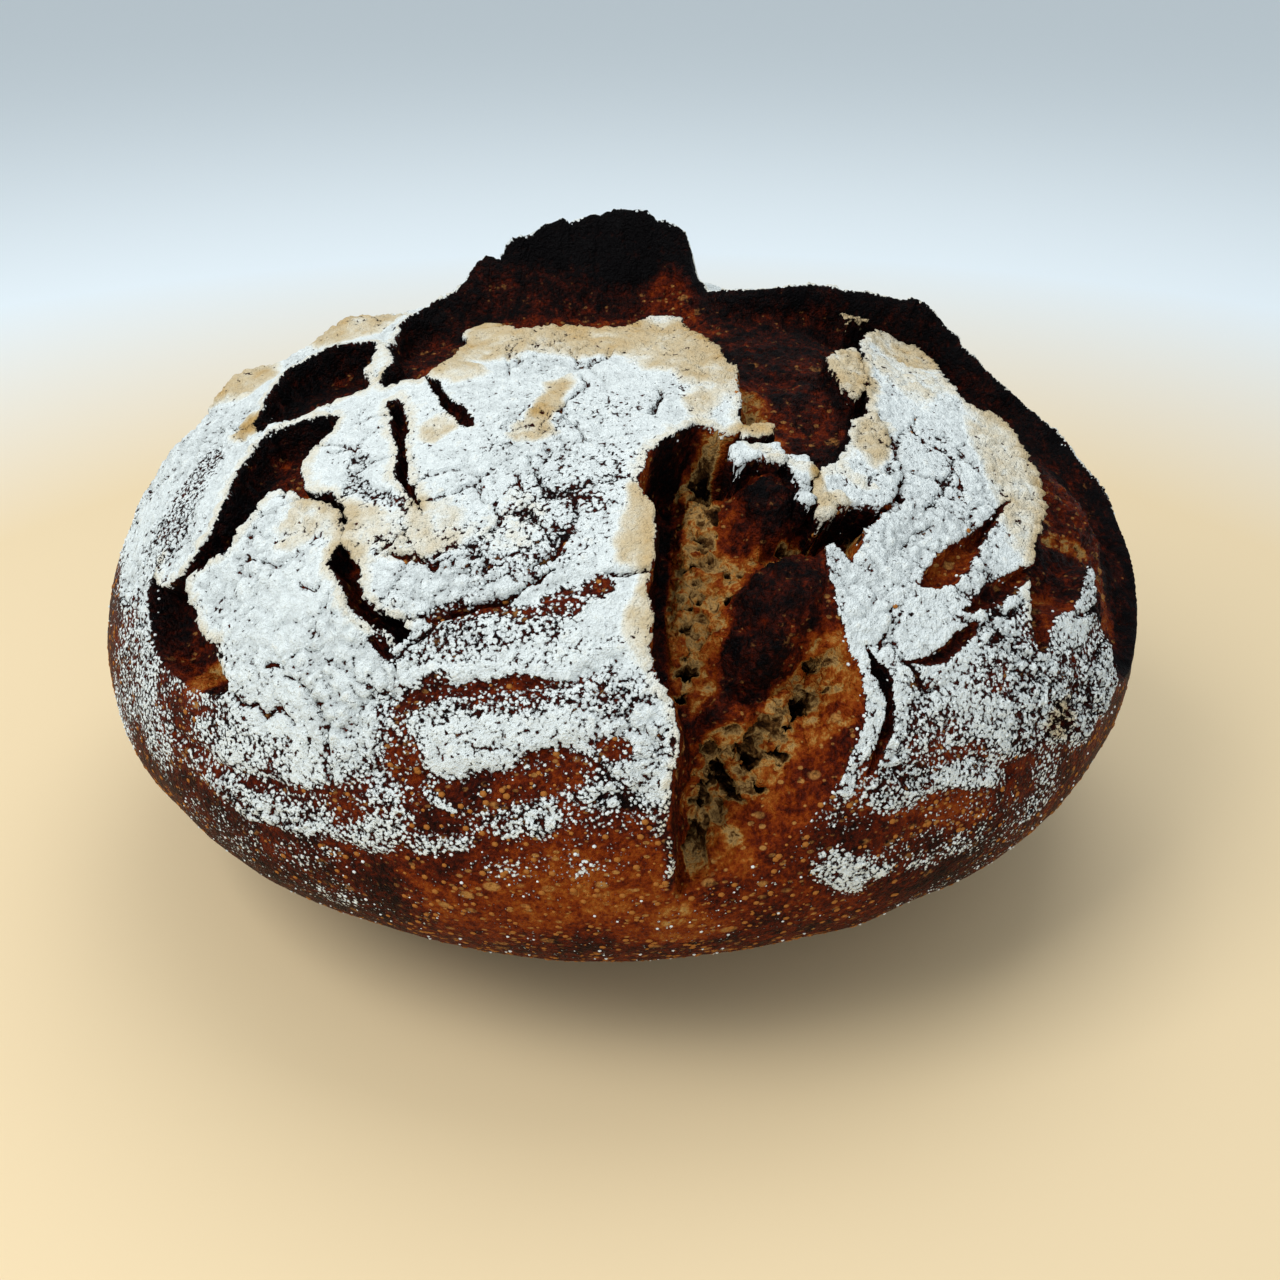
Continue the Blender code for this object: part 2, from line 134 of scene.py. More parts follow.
SIDE_CRESCENT = (-5.5, 0.84, [
    (-56, -28.5, 0.8, 3), (-62, -26, 0.8, 3), (-67, -26, 0.8, 3), (-71, -26, 1.0, 3),
    (-74, -31, 1.5, 3), (-76.5, -38, 2.0, 3), (-78.5, -45, 2.0, 3), (-80, -50.5, 2.0, 3),
    (-84, -56, 2.0, 3), (-89, -58, 1.5, 2), (-94, -56.5, 1.5, 2), (-95.5, -53, 1.2, 2),
    (-94.5, -48, 0.8, 2), (-97.5, -49.5, 0.5, 3), (-100, -54, 0.5, 4), (-100, -62, 0.5, 4),
    (-98, -70, 0.5, 4), (-94, -76, 0.5, 4), (-88, -82, 0.5, 4), (-81, -87.5, 0.5, 3),
    (-77.5, -86, 0.5, 3), (-79.5, -80, 0.8, 3), (-78.4, -77, 1.0, 2), (-81, -75.5, 1.5, 2),
    (-82.5, -69, 2.0, 3), (-84, -62.5, 2.0, 3), (-80, -61.5, 2.0, 3), (-76, -61.5, 2.0, 3),
    (-73, -58.5, 2.0, 3), (-70.5, -54.5, 2.0, 3), (-67, -50.5, 2.0, 3), (-64, -50.5, 1.5, 2),
    (-60, -55.5, 1.5, 2), (-55.5, -58, 1.0, 1.5), (-53, -61, 1.0, 1.5),
    (-52, -67, 1.0, 1.5), (-50.8, -66, 1.0, 1.5), (-50.3, -61, 1.0, 1.5),
    (-53, -55.5, 1.0, 1.5), (-58.5, -52.5, 1.2, 2), (-60.5, -46, 1.2, 2),
    (-58.5, -39, 1.0, 2), (-56.2, -35, 0.8, 2),
])
CHEEK_TEAR = (-4.5, 0.80, [
    (-52, -66, 0.8, 2), (-53, -69, 1.0, 2), (-54, -72, 1.0, 2), (-51.5, -76, 1.5, 3),
    (-50.3, -81, 1.5, 3), (-46, -85.3, 1.0, 3), (-42, -88.5, 1.0, 2), (-40, -90.5, 0.5, 2),
    (-37.5, -89.5, 0.5, 2), (-39, -86, 1.0, 2), (-43.5, -82, 1.5, 3), (-45.8, -79, 1.5, 3),
    (-45.4, -75.8, 1.5, 2), (-47, -72, 1.5, 2), (-50.5, -68, 1.0, 2),
])
CHEEK_NICK = (-1.5, 0.74, [
    (-46.5, -88, 0.3, 1.5), (-44.5, -88.5, 0.3, 1.5), (-41.8, -91.5, 0.3, 1.5),
    (-43.5, -92.5, 0.3, 1.5), (-45.5, -90.5, 0.3, 1.5),
])
BROW_TEAR = (-3.2, 0.80, [
    (-45.5, -30, 0.8, 1.5), (-45, -38, 0.8, 1.5), (-43, -46, 0.8, 1.5), (-41.5, -54, 0.8, 1.5),
    (-39.5, -59, 0.8, 1.5), (-36, -64.5, 0.5, 1.5), (-36.8, -61, 0.8, 1.5),
    (-38.3, -56, 0.8, 1.5), (-39.6, -50, 0.8, 1.5), (-40.8, -44, 0.8, 1.5),
    (-40.6, -40, 0.8, 1.5), (-41.9, -34, 0.8, 1.5), (-43.5, -29, 0.8, 1.5),
])
BROW_NICK = (-2.2, 0.80, [
    (-38.5, -24, 0.5, 1.5), (-35.5, -25.5, 0.5, 1.5), (-33.5, -32, 0.5, 1.5),
    (-30.5, -36, 0.5, 1.5), (-27.5, -43, 0.5, 1.5), (-30.5, -42.5, 0.5, 1.5),
    (-34, -37, 0.5, 1.5), (-36, -31, 0.5, 1.5),
])
TEMPLE_SLIT = (-1.8, 0.66, [
    (78, -46, 0.5, 2), (73, -52, 0.5, 2), (67, -59, 0.5, 2), (61, -67, 0.5, 2),
    (55, -76, 0.5, 2), (60, -75, 0.5, 2), (66, -69, 0.5, 2), (69, -62, 0.5, 2),
    (74, -54, 0.5, 2),
])
LOWER_SLIT = (-1.5, 0.68, [
    (83, -59, 0.5, 2), (76, -65, 0.5, 2), (70, -71, 0.5, 2), (64, -78, 0.5, 2),
    (71, -75, 0.5, 2), (78, -69, 0.5, 2),
])
SHORT_SLIT = (-1.2, 0.70, [
    (68, -79, 0.3, 1), (63, -83, 0.3, 1), (58, -88, 0.3, 1), (53, -91, 0.3, 1),
    (60, -89, 0.3, 1), (66, -84, 0.3, 1),
])
EDGE_SLIT = (-2.2, 0.84, [
    (44.8, -90, 0.5, 1.5), (47.5, -91.5, 0.5, 1.5), (50, -96, 0.5, 1.5),
    (51, -104, 0.3, 1.5), (50, -110.5, 0.3, 1.5), (48, -110.5, 0.3, 1.5),
    (48.5, -100, 0.3, 1.5), (46.5, -96, 0.3, 1.5),
])
BACK_LEFT_TEAR = (-4.5, 0.80, [
    (-62, 30, 1.0, 4), (-78, 33, 1.5, 4), (-95, 44, 1.5, 4), (-107, 66, 1.0, 5),
    (-104, 84, 0.5, 5), (-97, 68, 2.0, 4), (-84, 53, 2.5, 4), (-66, 42, 2.5, 4),
])
BACK_RIGHT_TEAR = (-4.5, 0.80, [
    (30, 52, 1.0, 4), (46, 55, 2.0, 4), (56, 70, 2.5, 4), (64, 92, 2.0, 4),
    (60, 118, 0.5, 5), (52, 104, 0.5, 5), (47, 82, 0.5, 6), (36, 66, 0.5, 6),
])
TEARS = [CROWN_TEAR, FRONT_TEAR, UPPER_CRESCENT, SIDE_CRESCENT, CHEEK_TEAR, CHEEK_NICK,
         BROW_TEAR, BROW_NICK, TEMPLE_SLIT, LOWER_SLIT, SHORT_SLIT, EDGE_SLIT,
         BACK_LEFT_TEAR, BACK_RIGHT_TEAR]
TEAR_SIGHT = 26.0            # beyond this distance a tear has no say
SCRAP_SIGHT = 3.0
CRACK_SIGHT = 2.0
FURROW_SIGHT = 8.0
CURL = 0.55                  # how far a lip leans over its tear, as a share of its height

# Dough that swelled up inside the tears: a, b, half length, half width, turn, height
SWOLLEN_DOUGH = [
    (28, -60, 10, 7.5, 0.0, 9.5),
    (31, -84, 15, 9.0, -0.35, 10.5),
    (22, -106, 6, 5, 0.3, 4.0),
    (36, 6, 20, 14, 0.2, 2.5),
    (45, -22, 12, 9, 1.2, 2.0),
    (100, -24, 16, 8, 1.1, 2.0),
]
# Flakes and folds that stand up from the untorn crust: a, b, half length, half width, turn, height
KNOLLS = [
    (-87, 12, 9, 6, 1.0, 4.5), (-62, 26, 9, 7, 0.3, 4.5), (-76, 20, 8, 6, 0.7, 1.5),
    (-100, -4, 8, 8, 1.2, 1.5), (-44, -14, 4, 3, 0.4, 1.2), (-36, -12, 3, 2.5, 0.0, 1.0),
    (-31, -22, 5, 4, 0.3, 1.2),
]
# Hollows under the lips and between the swellings: a, b, half length, half width, turn, depth
HOLLOWS = [
    (8.5, -73, 3.2, 20, 0.0, 5.0), (9.5, -54, 4.0, 7, 0.2, 4.5), (20, -119, 8.0, 13, -0.45, 5.5),
    (37, -69.5, 12, 2.8, 0.40, 5.5), (14, -92, 4.5, 14, 0.0, 2.5), (37, -99, 5.0, 8, 0.1, 3.5),
    (18, -52, 5.0, 5.0, 0.0, 4.0), (29, -111, 4.5, 3.0, 0.4, 3.0), (29, -53, 7.0, 2.0, 0.0, 4.0),
    (30, -98, 9.0, 2.5, 0.45, 3.0),
]
# Scraps of floured crust left standing in the tears: how high their tops lie, then outline
CRUST_SCRAPS = [
    (1.8, [(42, -11.6), (44.5, -7), (48.3, -2), (50.8, -2.5), (51.3, -10.3), (50.5, -18.3),
           (49, -25.5), (47.2, -29), (45.8, -28.6), (44.8, -25.5), (43.7, -21.7),
           (42.3, -16.4)]),
    (2.4, [(-31, -6), (-26, -4), (-24, -1), (-26, 2), (-30, 2), (-33, -2)]),
    (3.0, [(52, 22), (55, 24), (57, 27), (53, 28), (50, 25)]),
    (2.0, [(22, -45), (24, -44.6), (28, -43.5), (28.6, -46), (27.4, -48.3), (24.3, -49),
           (22, -48.7)]),
    (1.6, [(20.3, -52), (21.6, -50), (26, -49.5), (29, -49), (30.4, -52), (30, -54.7),
           (28.4, -55.5), (26.6, -54.3), (23.6, -55.4), (21.3, -56.7), (20, -55.4)]),
    (1.8, [(30, -53), (32, -51.4), (35.5, -51), (36.5, -53.6), (37.4, -55), (36, -57.7),
           (34.8, -60), (35, -63.4), (33.6, -65.5), (32.8, -64.6), (31.8, -62), (31.8, -59),
           (30.5, -55.4)]),
    (1.6, [(35.6, -58.4), (35.7, -63.3), (36, -66), (38.4, -67), (39.3, -64.3),
           (42, -62.4), (46, -61.3), (51, -59.8), (53, -52.6), (53.6, -48.8), (52.8, -44.7),
           (51.6, -38.6), (50.2, -34), (49.3, -32.6), (47.5, -37), (45.6, -39.3),
           (44, -44.7), (43.4, -48.5), (40, -52), (38.2, -54), (37, -55.5)]),
]
# Open holes in the crumb: a, b, half length, half width, turn, depth
CRUMB_HOLES = [
    (14.5, -66, 1.4, 1.1, 0.0, 4.0), (12, -60.5, 1.5, 1.2, 0.4, 4.0),
    (13.5, -73, 1.3, 1.0, 0.5, 4.0), (13.7, -81.4, 2.2, 0.9, 0.3, 5.0),
    (13, -85.5, 1.8, 1.0, 0.6, 4.5), (12.5, -91.5, 1.6, 0.9, 0.5, 4.0),
    (12.6, -95.5, 2.7, 2.0, 0.0, 9.0), (11.4, -101.4, 1.9, 1.5, 0.0, 6.0),
    (19.8, -74.8, 1.0, 0.8, 0.0, 3.0), (18, -88, 1.2, 0.8, 0.4, 3.0),
    (21, -82, 1.0, 0.8, 0.4, 2.5), (36.8, -94.6, 1.4, 1.0, 0.0, 4.0),
    (36.7, -101.5, 2.4, 2.7, 0.0, 5.0), (41, -98, 1.2, 0.9, 0.4, 3.0),
    (43.0, -103.3, 1.1, 0.8, 0.0, 3.0), (32.4, -111.7, 2.4, 1.2, 0.2, 6.0),
    (22.8, -117.5, 3.2, 1.6, -0.9, 7.5), (22, -121, 3.0, 1.5, -0.3, 8.0),
    (25.7, -123, 1.4, 1.0, 0.0, 5.0), (18.5, -122.5, 1.8, 1.4, -0.5, 6.0),
    (17.4, -127, 1.8, 1.2, -0.3, 6.0), (17.3, -134, 2.8, 3.2, 0.0, 9.0),
    (27, -115.5, 1.6, 1.0, -0.4, 4.0), (29.5, -119, 1.3, 0.9, 0.0, 3.5),
    (12, -142, 1.2, 0.9, 0.0, 3.5), (42.2, -54.5, 1.7, 1.2, 0.3, 3.5),
    (31, -69, 1.6, 1.0, 0.5, 3.0), (25, -112, 1.4, 0.8, 0.3, 3.5),
    (34, -105.5, 1.5, 0.8, 0.5, 3.0), (39.5, -93, 1.0, 0.8, 0.0, 2.5),
]
# Fine cracks in the floured crust: half width, depth, then the line
CRACKS = [
    (0.55, 1.0, [(-8, -26), (-6, -30), (-9, -36), (-11, -40), (-9, -45), (-6, -51)]),
    (0.75, 1.4, [(8, -31), (7, -37), (6, -42)]),
    (0.45, 0.8, [(-20, -14), (-20, -20), (-22, -24)]),
    (0.55, 1.0, [(-36, -66), (-40, -69), (-43, -71.5)]),
    (0.85, 1.6, [(-41, -72.5), (-39.8, -73.5), (-36.6, -75.1), (-34.2, -76.8), (-32.5, -77.5)]),
    (0.80, 1.8, [(-29.4, -86.8), (-25.8, -85.9), (-21.1, -85.2), (-16.8, -82.9),
                 (-14.3, -81.7), (-12.8, -80.8)]),
    (0.60, 1.2, [(-15.5, -79.6), (-12.1, -78.1), (-9.5, -75.7)]),
    (0.60, 1.0, [(-38, -86), (-33, -88), (-29, -87)]),
    (0.60, 1.6, [(-2.5, -82.3), (1.5, -81.8), (5.5, -81.6)]),
    (0.70, 1.6, [(50.8, -33), (52.2, -38), (53.8, -44), (53.6, -49.5), (52.6, -55), (50, -60.5)]),
    (0.40, 0.7, [(63, -38), (67, -43), (67, -50)]),
    (0.45, 0.8, [(52, -70), (55, -66), (58, -63)]),
    (0.50, 0.9, [(50, -82), (50, -86), (48, -90)]),
    (0.45, 0.8, [(-58, -40), (-54, -42), (-50, -44)]),
    (0.45, 0.8, [(-71, -64), (-67, -66), (-65, -68)]),
    (0.50, 0.9, [(-60, -74), (-57, -77), (-55, -76)]),
    (0.45, 0.9, [(-68, -86), (-64, -88), (-60, -86), (-55, -87)]),
    (0.55, 1.0, [(-64, -90), (-60, -93), (-57, -98)]),
    (0.60, 1.1, [(-77, -88), (-75, -91), (-72, -92), (-71, -95), (-67, -94), (-64, -98)]),
    (0.45, 0.8, [(-19, -59), (-18, -63)]),
    (0.45, 0.8, [(-45, -34), (-49, -33), (-52, -35)]),
    (0.60, 1.2, [(-88, -8), (-83, -14), (-79, -19)]),
    (0.45, 0.8, [(60, -27), (58, -33), (60, -38)]),
    (0.50, 1.0, [(96, -72), (99, -80), (97, -88)]),
    (0.50, 0.9, [(-30, 60), (-24, 72), (-26, 84), (-20, 96)]),
    (0.45, 0.8, [(10, 62), (6, 74), (12, 86)]),
    (0.45, 0.8, [(-60, 62), (-56, 74), (-62, 88)]),
    (0.50, 0.9, [(76, 44), (84, 56), (82, 70), (90, 82)]),
    (0.45, 0.8, [(-110, 20), (-116, 34), (-112, 46)]),
]
# Shallow furrows that the proving basket pressed into the skin: half width, depth, line
FURROWS = [
    (3.0, 0.8, [(-40, -85), (-24, -87), (-6, -83)]),
    (2.5, 1.0, [(-50, -99), (-30, -99), (-14, -101), (0, -98)]),
    (3.5, 1.2, [(-48, -112), (-30, -115), (-8, -112)]),
    (2.5, 0.8, [(-100, -86), (-88, -98), (-72, -108)]),
    (2.5, 0.7, [(56, -96), (70, -104), (86, -102)]),
    (2.5, 0.7, [(-90, 84), (-60, 104), (-20, 112), (30, 110), (70, 92)]),
    (2.5, 0.7, [(-104, 96), (-64, 122), (0, 130), (60, 120), (96, 90)]),
]

# ---------------------------------------------------------------------------------------
# Dabs of finish: a, b, half length, half width, turn in degrees, value
# ---------------------------------------------------------------------------------------
# How thickly the flour lies: 1.5 hides the crust, 1 shows specks, 0.5 is half bare, 0 bare
FLOUR_DABS = [
    (-20, -50, 26, 26, 0, 1.30), (-5, -62, 11, 11, 0, 1.05), (-15, -67, 13, 8, 20, 1.00),
    (-14, -77, 12, 4, 10, 0.84), (-28, -30, 9, 12, 0, 1.40), (-30, -60, 12, 7, 0, 1.50),
    (-23, -87.5, 15, 2.2, -4, 0.20), (-11, -87.5, 5, 3.5, 0, 0.45), (-4.8, -85, 2.6, 2.6, 0, 0.0),
    (-25, -92, 17, 3.5, 2, 0.72), (-16, -95.5, 18, 2.2, 2, 0.98),
    (-24, -100.3, 18, 1.7, 0, 0.02), (-38, -99.5, 8, 2.5, 20, 0.0),
    (-19, -104, 15, 3.0, 0, 0.52), (-38, -105, 6, 3.5, 0, 0.75), (-2, -103, 7, 5, 0, 0.72),
    (-28, -110, 16, 4.4, 6, 1.15), (-10, -108.5, 12, 3.4, -4, 1.05),
    (-1.5, -111.8, 3.4, 2.0, 0, 0.05), (-26, -117, 20, 3.2, 2, -0.2), (-12, -113.5, 9, 2.4, -8, 0.1),
    (2, -117, 8.5, 4.6, 10, 1.10), (7, -111, 3.5, 4.5, 0, 0.95),
    (-22, -123, 9, 3.0, 5, 0.66), (-16, -123, 3.5, 3.2, 0, 0.80), (-38, -126, 8, 2.4, -6, 0.62),
    (-37, -117.5, 6, 1.0, -35, 0.80), (-48, -118, 7, 6, -25, 0.52), (-52, -122, 10, 3.5, -10, 0.70),
    (-25, -138, 60, 9, 0, -0.3), (15, -150, 70, 12, 0, -0.4), (-18, -131.5, 22, 3, 0, 0.10),
    (-44, -103, 3.5, 9, 25, 0.30), (-42, -112, 4, 6, 30, 0.18), (9.5, -129, 1.4, 8, -5, 0.62),
    (-62, -98, 17, 9, -12, 1.36), (-66, -104, 16, 5, -14, 0.98), (-70, -111, 20, 3.0, -18, 0.30),
    (-76, -101, 9, 4, -20, 0.62), (-84, -95, 12, 4.5, -32, 0.72),
    (-93, -97, 12, 4, -40, 0.38), (-75, -112.5, 20, 3.4, -22, 0.80), (-88, -103, 8, 4, -35, 0.72),
    (-100, -108, 20, 9, -42, 0.05), (-108, -80, 14, 10, -60, 0.42), (-112, -66, 14, 6, -66, 0.70),
    (-80, -126, 22, 8, -25, -0.1), (-72, -121, 12, 3, -15, 0.30),
    (-75, -132, 8, 2.5, -20, 0.30), (-120, -62, 12, 18, -70, 0.40),
    (-106, -30, 10, 22, 10, 1.30), (-93, -38, 8, 22, -16, 0.78), (-90, -30, 5, 12, -16, 0.60),
    (-100, -58, 5, 14, -10, 0.85),
    (70, -92, 24, 9, 15, 0.86), (62, -78, 14, 8, 20, 1.25), (78, -84, 18, 7, 25, 0.92),
    (72, -88, 6, 4, 20, 0.50), (80, -75, 5, 4, 20, 0.55), (60, -100, 9, 4, 10, 0.55),
    (84, -96, 10, 4, 25, 0.85), (96, -84, 10, 7, 50, 0.72), (99, -95, 7, 5, 40, 0.40),
    (106, -76, 8, 12, -15, 0.78), (58, -112, 12, 5, 20, 0.66), (74, -106, 12, 3.4, 20, 0.80),
    (78, -112, 16, 4.0, 26, 0.0), (92, -108, 12, 4, 34, 0.10), (104, -100, 10, 4, 45, 0.45),
    (50, -131, 9, 4.5, -18, 0.86), (58, -128, 6, 4, 0, 0.80), (76, -121, 14, 3.5, 24, 0.52),
    (66, -122, 12, 4, 25, 0.05), (43.8, -103, 1.6, 8, 0, 1.10), (44, -113, 2.0, 5, 6, 0.85),
    (52, -102, 2.5, 10, 0, 1.05), (47, -120, 6, 4, 0, 0.10), (96, -116, 12, 10, 40, 0.10),
    (100, -122, 30, 10, 40, -0.1), (97, -62, 3.5, 12, -24, 1.1), (112, -68, 8, 8, 0, 0.85),
    (61, -52, 5, 6, 0, 1.45), (60, -20, 10, 18, 0, 1.45), (68, -62, 10, 10, 0, 1.35),
    (60, -42, 7, 9, 0, 1.15), (90, 10, 9, 14, 0, 0.9),
]
# How toasted the flour is: 0 white, 1 cream, 2 ochre
TOAST_DABS = [
    (4, -9, 24, 9, 0, 1.20), (9, -16, 9, 8, -20, 0.95), (16, -22, 5, 14, 10, 1.0),
    (15, -36, 4, 8, 10, 0.6),
    (-24, -10, 9, 7, 0, 1.0), (-27, 2, 6, 6, 0, 1.4), (-13, -37, 3.0, 10, -12, 1.5),
    (-16, -47, 4.5, 4, 0, 1.2), (-33, -18, 5, 7, 0, 0.7), (-35, -42, 3.5, 4, 0, 0.8),
    (-50, -66, 7, 9, 0, 0.55), (-36, -66, 10, 6, 0, 0.50), (-34, -72, 9, 4, 0, 0.60),
    (-60, -61, 8, 6, 0, 0.45), (-20, -70, 8, 8, 0, 0.25), (3, -90, 3, 8, 0, 0.55),
    (40, -64, 4, 4, 0, 0.9), (37, -60, 1.5, 7, 0, 1.4), (50, -42, 3.5, 9, -10, 0.9),
    (47, -15, 6, 16, 0, 1.1), (54, 25, 5, 4, 0, 1.4),
    (82, -18, 5, 10, 10, 1.2), (84, -42, 4, 14, 4, 1.2), (79, -36, 7, 26, 6, 0.6),
    (66, 14, 8, 10, 0, 1.1), (62, -6, 8, 14, 0, 0.5),
    (-86, 13, 8, 10, 25, 1.2), (-78, -19, 4, 5, 20, 1.7), (-61, 25, 12, 8, 10, 1.1),
    (-44, -14, 5, 4, 20, 0.8), (-31, -22, 6, 4, 0, 0.8),
    (-57, -62, 3, 6, 10, 0.5), (25, -46, 4, 3, 0, 1.1), (85, -60, 3, 10, 8, 0.7),
    (96, -86, 6, 3, 40, 0.8), (-12, 46, 30, 7, 0, 1.0), (64, 40, 26, 7, -25, 0.9),
]
FLOUR_ON_TOP = 1.50
FLOUR_THINS_FROM = 103.0     # walked from the crown
FLOUR_THINS_OVER = 34.0
UNTORN_BAKE = 0.70
CRUMB_PITS = ((4.2, 23), (2.2, 26), (1.2, 29))       # the crumb's pits: size, seed
# A flap of smooth cream flour on the front plate's right edge
CREAM_FLAP = [(0, -64), (4, -63.5), (9, -68.7), (9, -81.3), (1.8, -81.6), (-0.8, -81),
              (-2.0, -76.3), (-0.6, -70.9)]
# How the skin is baked: 0.3 orange, 0.5 caramel, 0.7 red-brown, 1 char, and in the crumb
# 0 for pale strands down to -1, painted shade that darkens its hollows
BAKE_DABS = [
    (0, -157, 95, 9, 0, 0.66), (-15, -137, 44, 12, 0, 0.50), (-6, -139, 24, 7, 0, 0.43),
    (14, -146, 16, 6, 0, 0.42), (40, -138, 24, 9, -5, 0.64),
    (-28, -117, 22, 4, 2, 0.70), (-14, -118, 12, 5, 2, 0.58), (0, -112, 5, 4, 0, 0.60),
    (-36, -126, 16, 7, -5, 0.64), (-80, -122, 34, 14, -25, 0.76), (-42, -110, 6, 12, 20, 0.68),
    (88, -120, 30, 16, 35, 0.74), (60, -112, 20, 8, 10, 0.62), (76, -113, 10, 4, 24, 0.56),
    (54, -116, 6, 5, 0, 0.64), (70, -100, 20, 8, 15, 0.64),
    (25, -18, 5, 7, 10, 0.60), (26, -31, 5, 11, 0, 0.33), (30, -42, 4, 6, 0, 0.48),
    (38, -32, 8, 9, 20, 0.74),
    (34, -10, 12, 12, 0, 0.82), (2, 14, 22, 5, 0, 0.64), (13, 18, 6, 9, 0, 0.58),
    (-8, 32, 38, 6, 0, 1.08), (-8, 24, 28, 3.6, 0, 0.84), (10, 25, 5, 4.5, 0, 0.66),
    (-4, 18, 22, 3.2, 0, 0.66), (-38, -6, 8, 9, 0, 0.62), (-42, 8, 8, 8, 0, 0.74),
    (108, -36, 9, 16, 60, 0.66), (92, -66, 5, 12, -25, 0.58), (95, -52, 6, 8, 0, 0.82),
    (99, -41, 10, 2.5, 25, 0.34), (120, -44, 8, 8, 0, 0.52), (100, -20, 12, 10, 40, 0.70),
    (88, -14, 8, 12, 20, 0.82), (104, -8, 16, 6, 35, 0.84), (-92, -72, 5, 10, -30, 0.64),
    (-86, -80, 5, 5, -30, 0.40),
    (-68, -38, 6, 10, 10, 0.70), (-63, -46, 2.5, 3, 0, 0.50), (-62, -14, 10, 5, 0, 0.70),
    (-88, -66, 6, 12, -30, 0.76), (-40, -46, 2, 16, 8, 0.76),
    (-48, -78, 4, 9, 15, 0.74),
    (63, -68, 5, 9, -38, 0.52), (76, -64, 4, 8, -50, 0.60),
    # The first two dabs on the next row paint shadow: the strip just inside the front tear's left lip
    # is drawn near black as the shade under the plate; the dab at (17, -51) paints shade down in the
    # hollow there
    (7, -70, 3.2, 36, 0, 0.93), (9.5, -56, 4.0, 11, 8, 0.92), (13, -48.5, 5, 4, 0, 0.84),
    (17, -51, 4.5, 5, 0, -0.55), (12.5, -51.5, 1.8, 1.8, 0, 0.0), (20, -50, 2, 3, 0, 0.66),
    (11.8, -62, 2.0, 10, 4, 0.62), (16, -62, 3.4, 9, 0, -0.02), (14.5, -88, 4.6, 21, 2, 0.04),
    (10.2, -86, 1.6, 20, 0, 0.40), (17.5, -84, 4.4, 12, 6, 0.22), (18, -98, 4, 8, 0, 0.40),
    (22, -64, 3.6, 10, 0, 0.66), (21, -76, 4, 6, 15, 0.34), (30, -62, 6.5, 9, 0, 0.84),
    (30, -84, 9, 13, -18, 0.80), (25, -95, 7, 7, 25, 0.90), (22, -103, 7, 4, 30, 0.74),
    (20, -108, 8, 3.4, 20, 0.56), (37, -69, 10, 2.4, 24, -0.15), (43, -64, 7, 2, 24, 0.62),
    (38, -80, 5.5, 8, 0, 0.72), (42, -86, 3, 8, 10, 0.66), (39, -97, 5, 10, 0, 0.36),
    (34, -102, 5, 4, 0, 0.05), (30, -108, 5, 3, 20, 0.05), (36, -110, 6, 4, 0, 0.32),
    (25, -117, 9, 10, -20, 0.07), (18.5, -125, 4.5, 6, -10, 0.02), (26, -126, 6, 5, -20, 0.30),
    (23, -133, 7, 3.6, -10, 0.46), (34, -117, 4, 7, -30, 0.40), (38, -116, 5, 10, -30, 0.54),
    (30, -127, 8, 4, -30, 0.46), (43, -112, 3, 12, -10, 0.66), (25, -137, 10, 3, 0, 0.60),
    (34, -128, 9, 5, -35, 0.64),
    (11.5, -118, 3.0, 18, -4, 0.70), (14.8, -112, 2.0, 10, -12, 0.60), (13.5, -128, 1.6, 9, -8, 0.56),
    (12, -143, 4, 2.5, 0, 0.25),
]

# The finer stretches of crust laid over the body: name, grid step, underside depth, sink of
# the body below, and the stretch of the chart that they cover
STRETCHES = [
    ("front_crust_plate", 0.45, 20, 2.0, [
        (-56, -10), (-35, -8), (-31, 10), (9, 13), (25, -4), (28, -38), (14, -46), (10, -56),
        (10, -100), (15, -112), (15, -150), (-56, -150), (-58, -60)]),
    ("front_tear_crumb", 0.40, 24, 9.0, [
        (0, -46), (14, -37), (26, -39), (56, -52), (58, -62), (46, -72), (47, -80),
        (53, -92), (52, -120), (42, -136), (22, -148), (5, -148), (1, -120), (0, -100)]),
    ("right_crust_plate", 0.47, 20, 2.0, [
        (20, -36), (40, -46), (44, -30), (50, -14), (52, 10), (58, 24), (72, 26), (86, -4),
        (95, -30), (92, -62), (104, -38), (125, -50), (119, -90), (100, -130), (60, -156),
        (16, -156), (10, -142), (34, -132), (42, -112), (42, -95), (34, -80), (36, -68),
        (44, -62), (30, -56), (20, -54)]),
    ("left_crust_plate", 0.48, 12, 2.5, [
        (-46, -10), (-44, -150), (-100, -132), (-104, -50), (-84, -24), (-80, -12)]),
    ("far_left_crust", 0.56, 12, 2.5, [
        (-78, -60), (-94, -92), (-100, -128), (-126, -105), (-142, -40), (-130, 14),
        (-100, 40), (-50, 40), (-46, -22), (-76, -16)]),
    ("crown_tear_and_ear", 0.50, 12, 2.5, [
        (-66, -22), (-62, 46), (-20, 64), (30, 60), (64, 50), (60, -10), (50, -50),
        (20, -46), (10, -10), (-26, -12), (-40, -26)]),
    ("right_tear_band", 0.55, 12, 2.5, [
        (54, 48), (54, 2), (78, -18), (82, -82), (92, -86), (104, -58), (130, -68),
        (146, -45), (142, -16), (122, 22), (92, 46)]),
    ("front_heel_crust", 0.70, 9, 1.5, [
        (-112, -66), (-98, -104), (-50, -138), (0, -142), (60, -140), (98, -112),
        (124, -66), (150, -82), (112, -138), (60, -166), (0, -176), (-60, -168),
        (-120, -128), (-148, -82)]),
    ("back_left_crust", 0.85, 12, 2.0, [
        (4, 56), (-22, 58), (-60, 40), (-100, 34), (-134, 8), (-150, 50), (-130, 100),
        (-70, 150), (4, 165)]),
    ("back_right_crust", 0.85, 12, 2.0, [
        (-2, 56), (30, 54), (60, 44), (92, 40), (124, 14), (146, -20), (156, 30),
        (140, 90), (80, 140), (-2, 165)]),
]
STRETCH_MARGIN = 2.0         # a stretch dives under its neighbours over this width
DIVE = 1.6
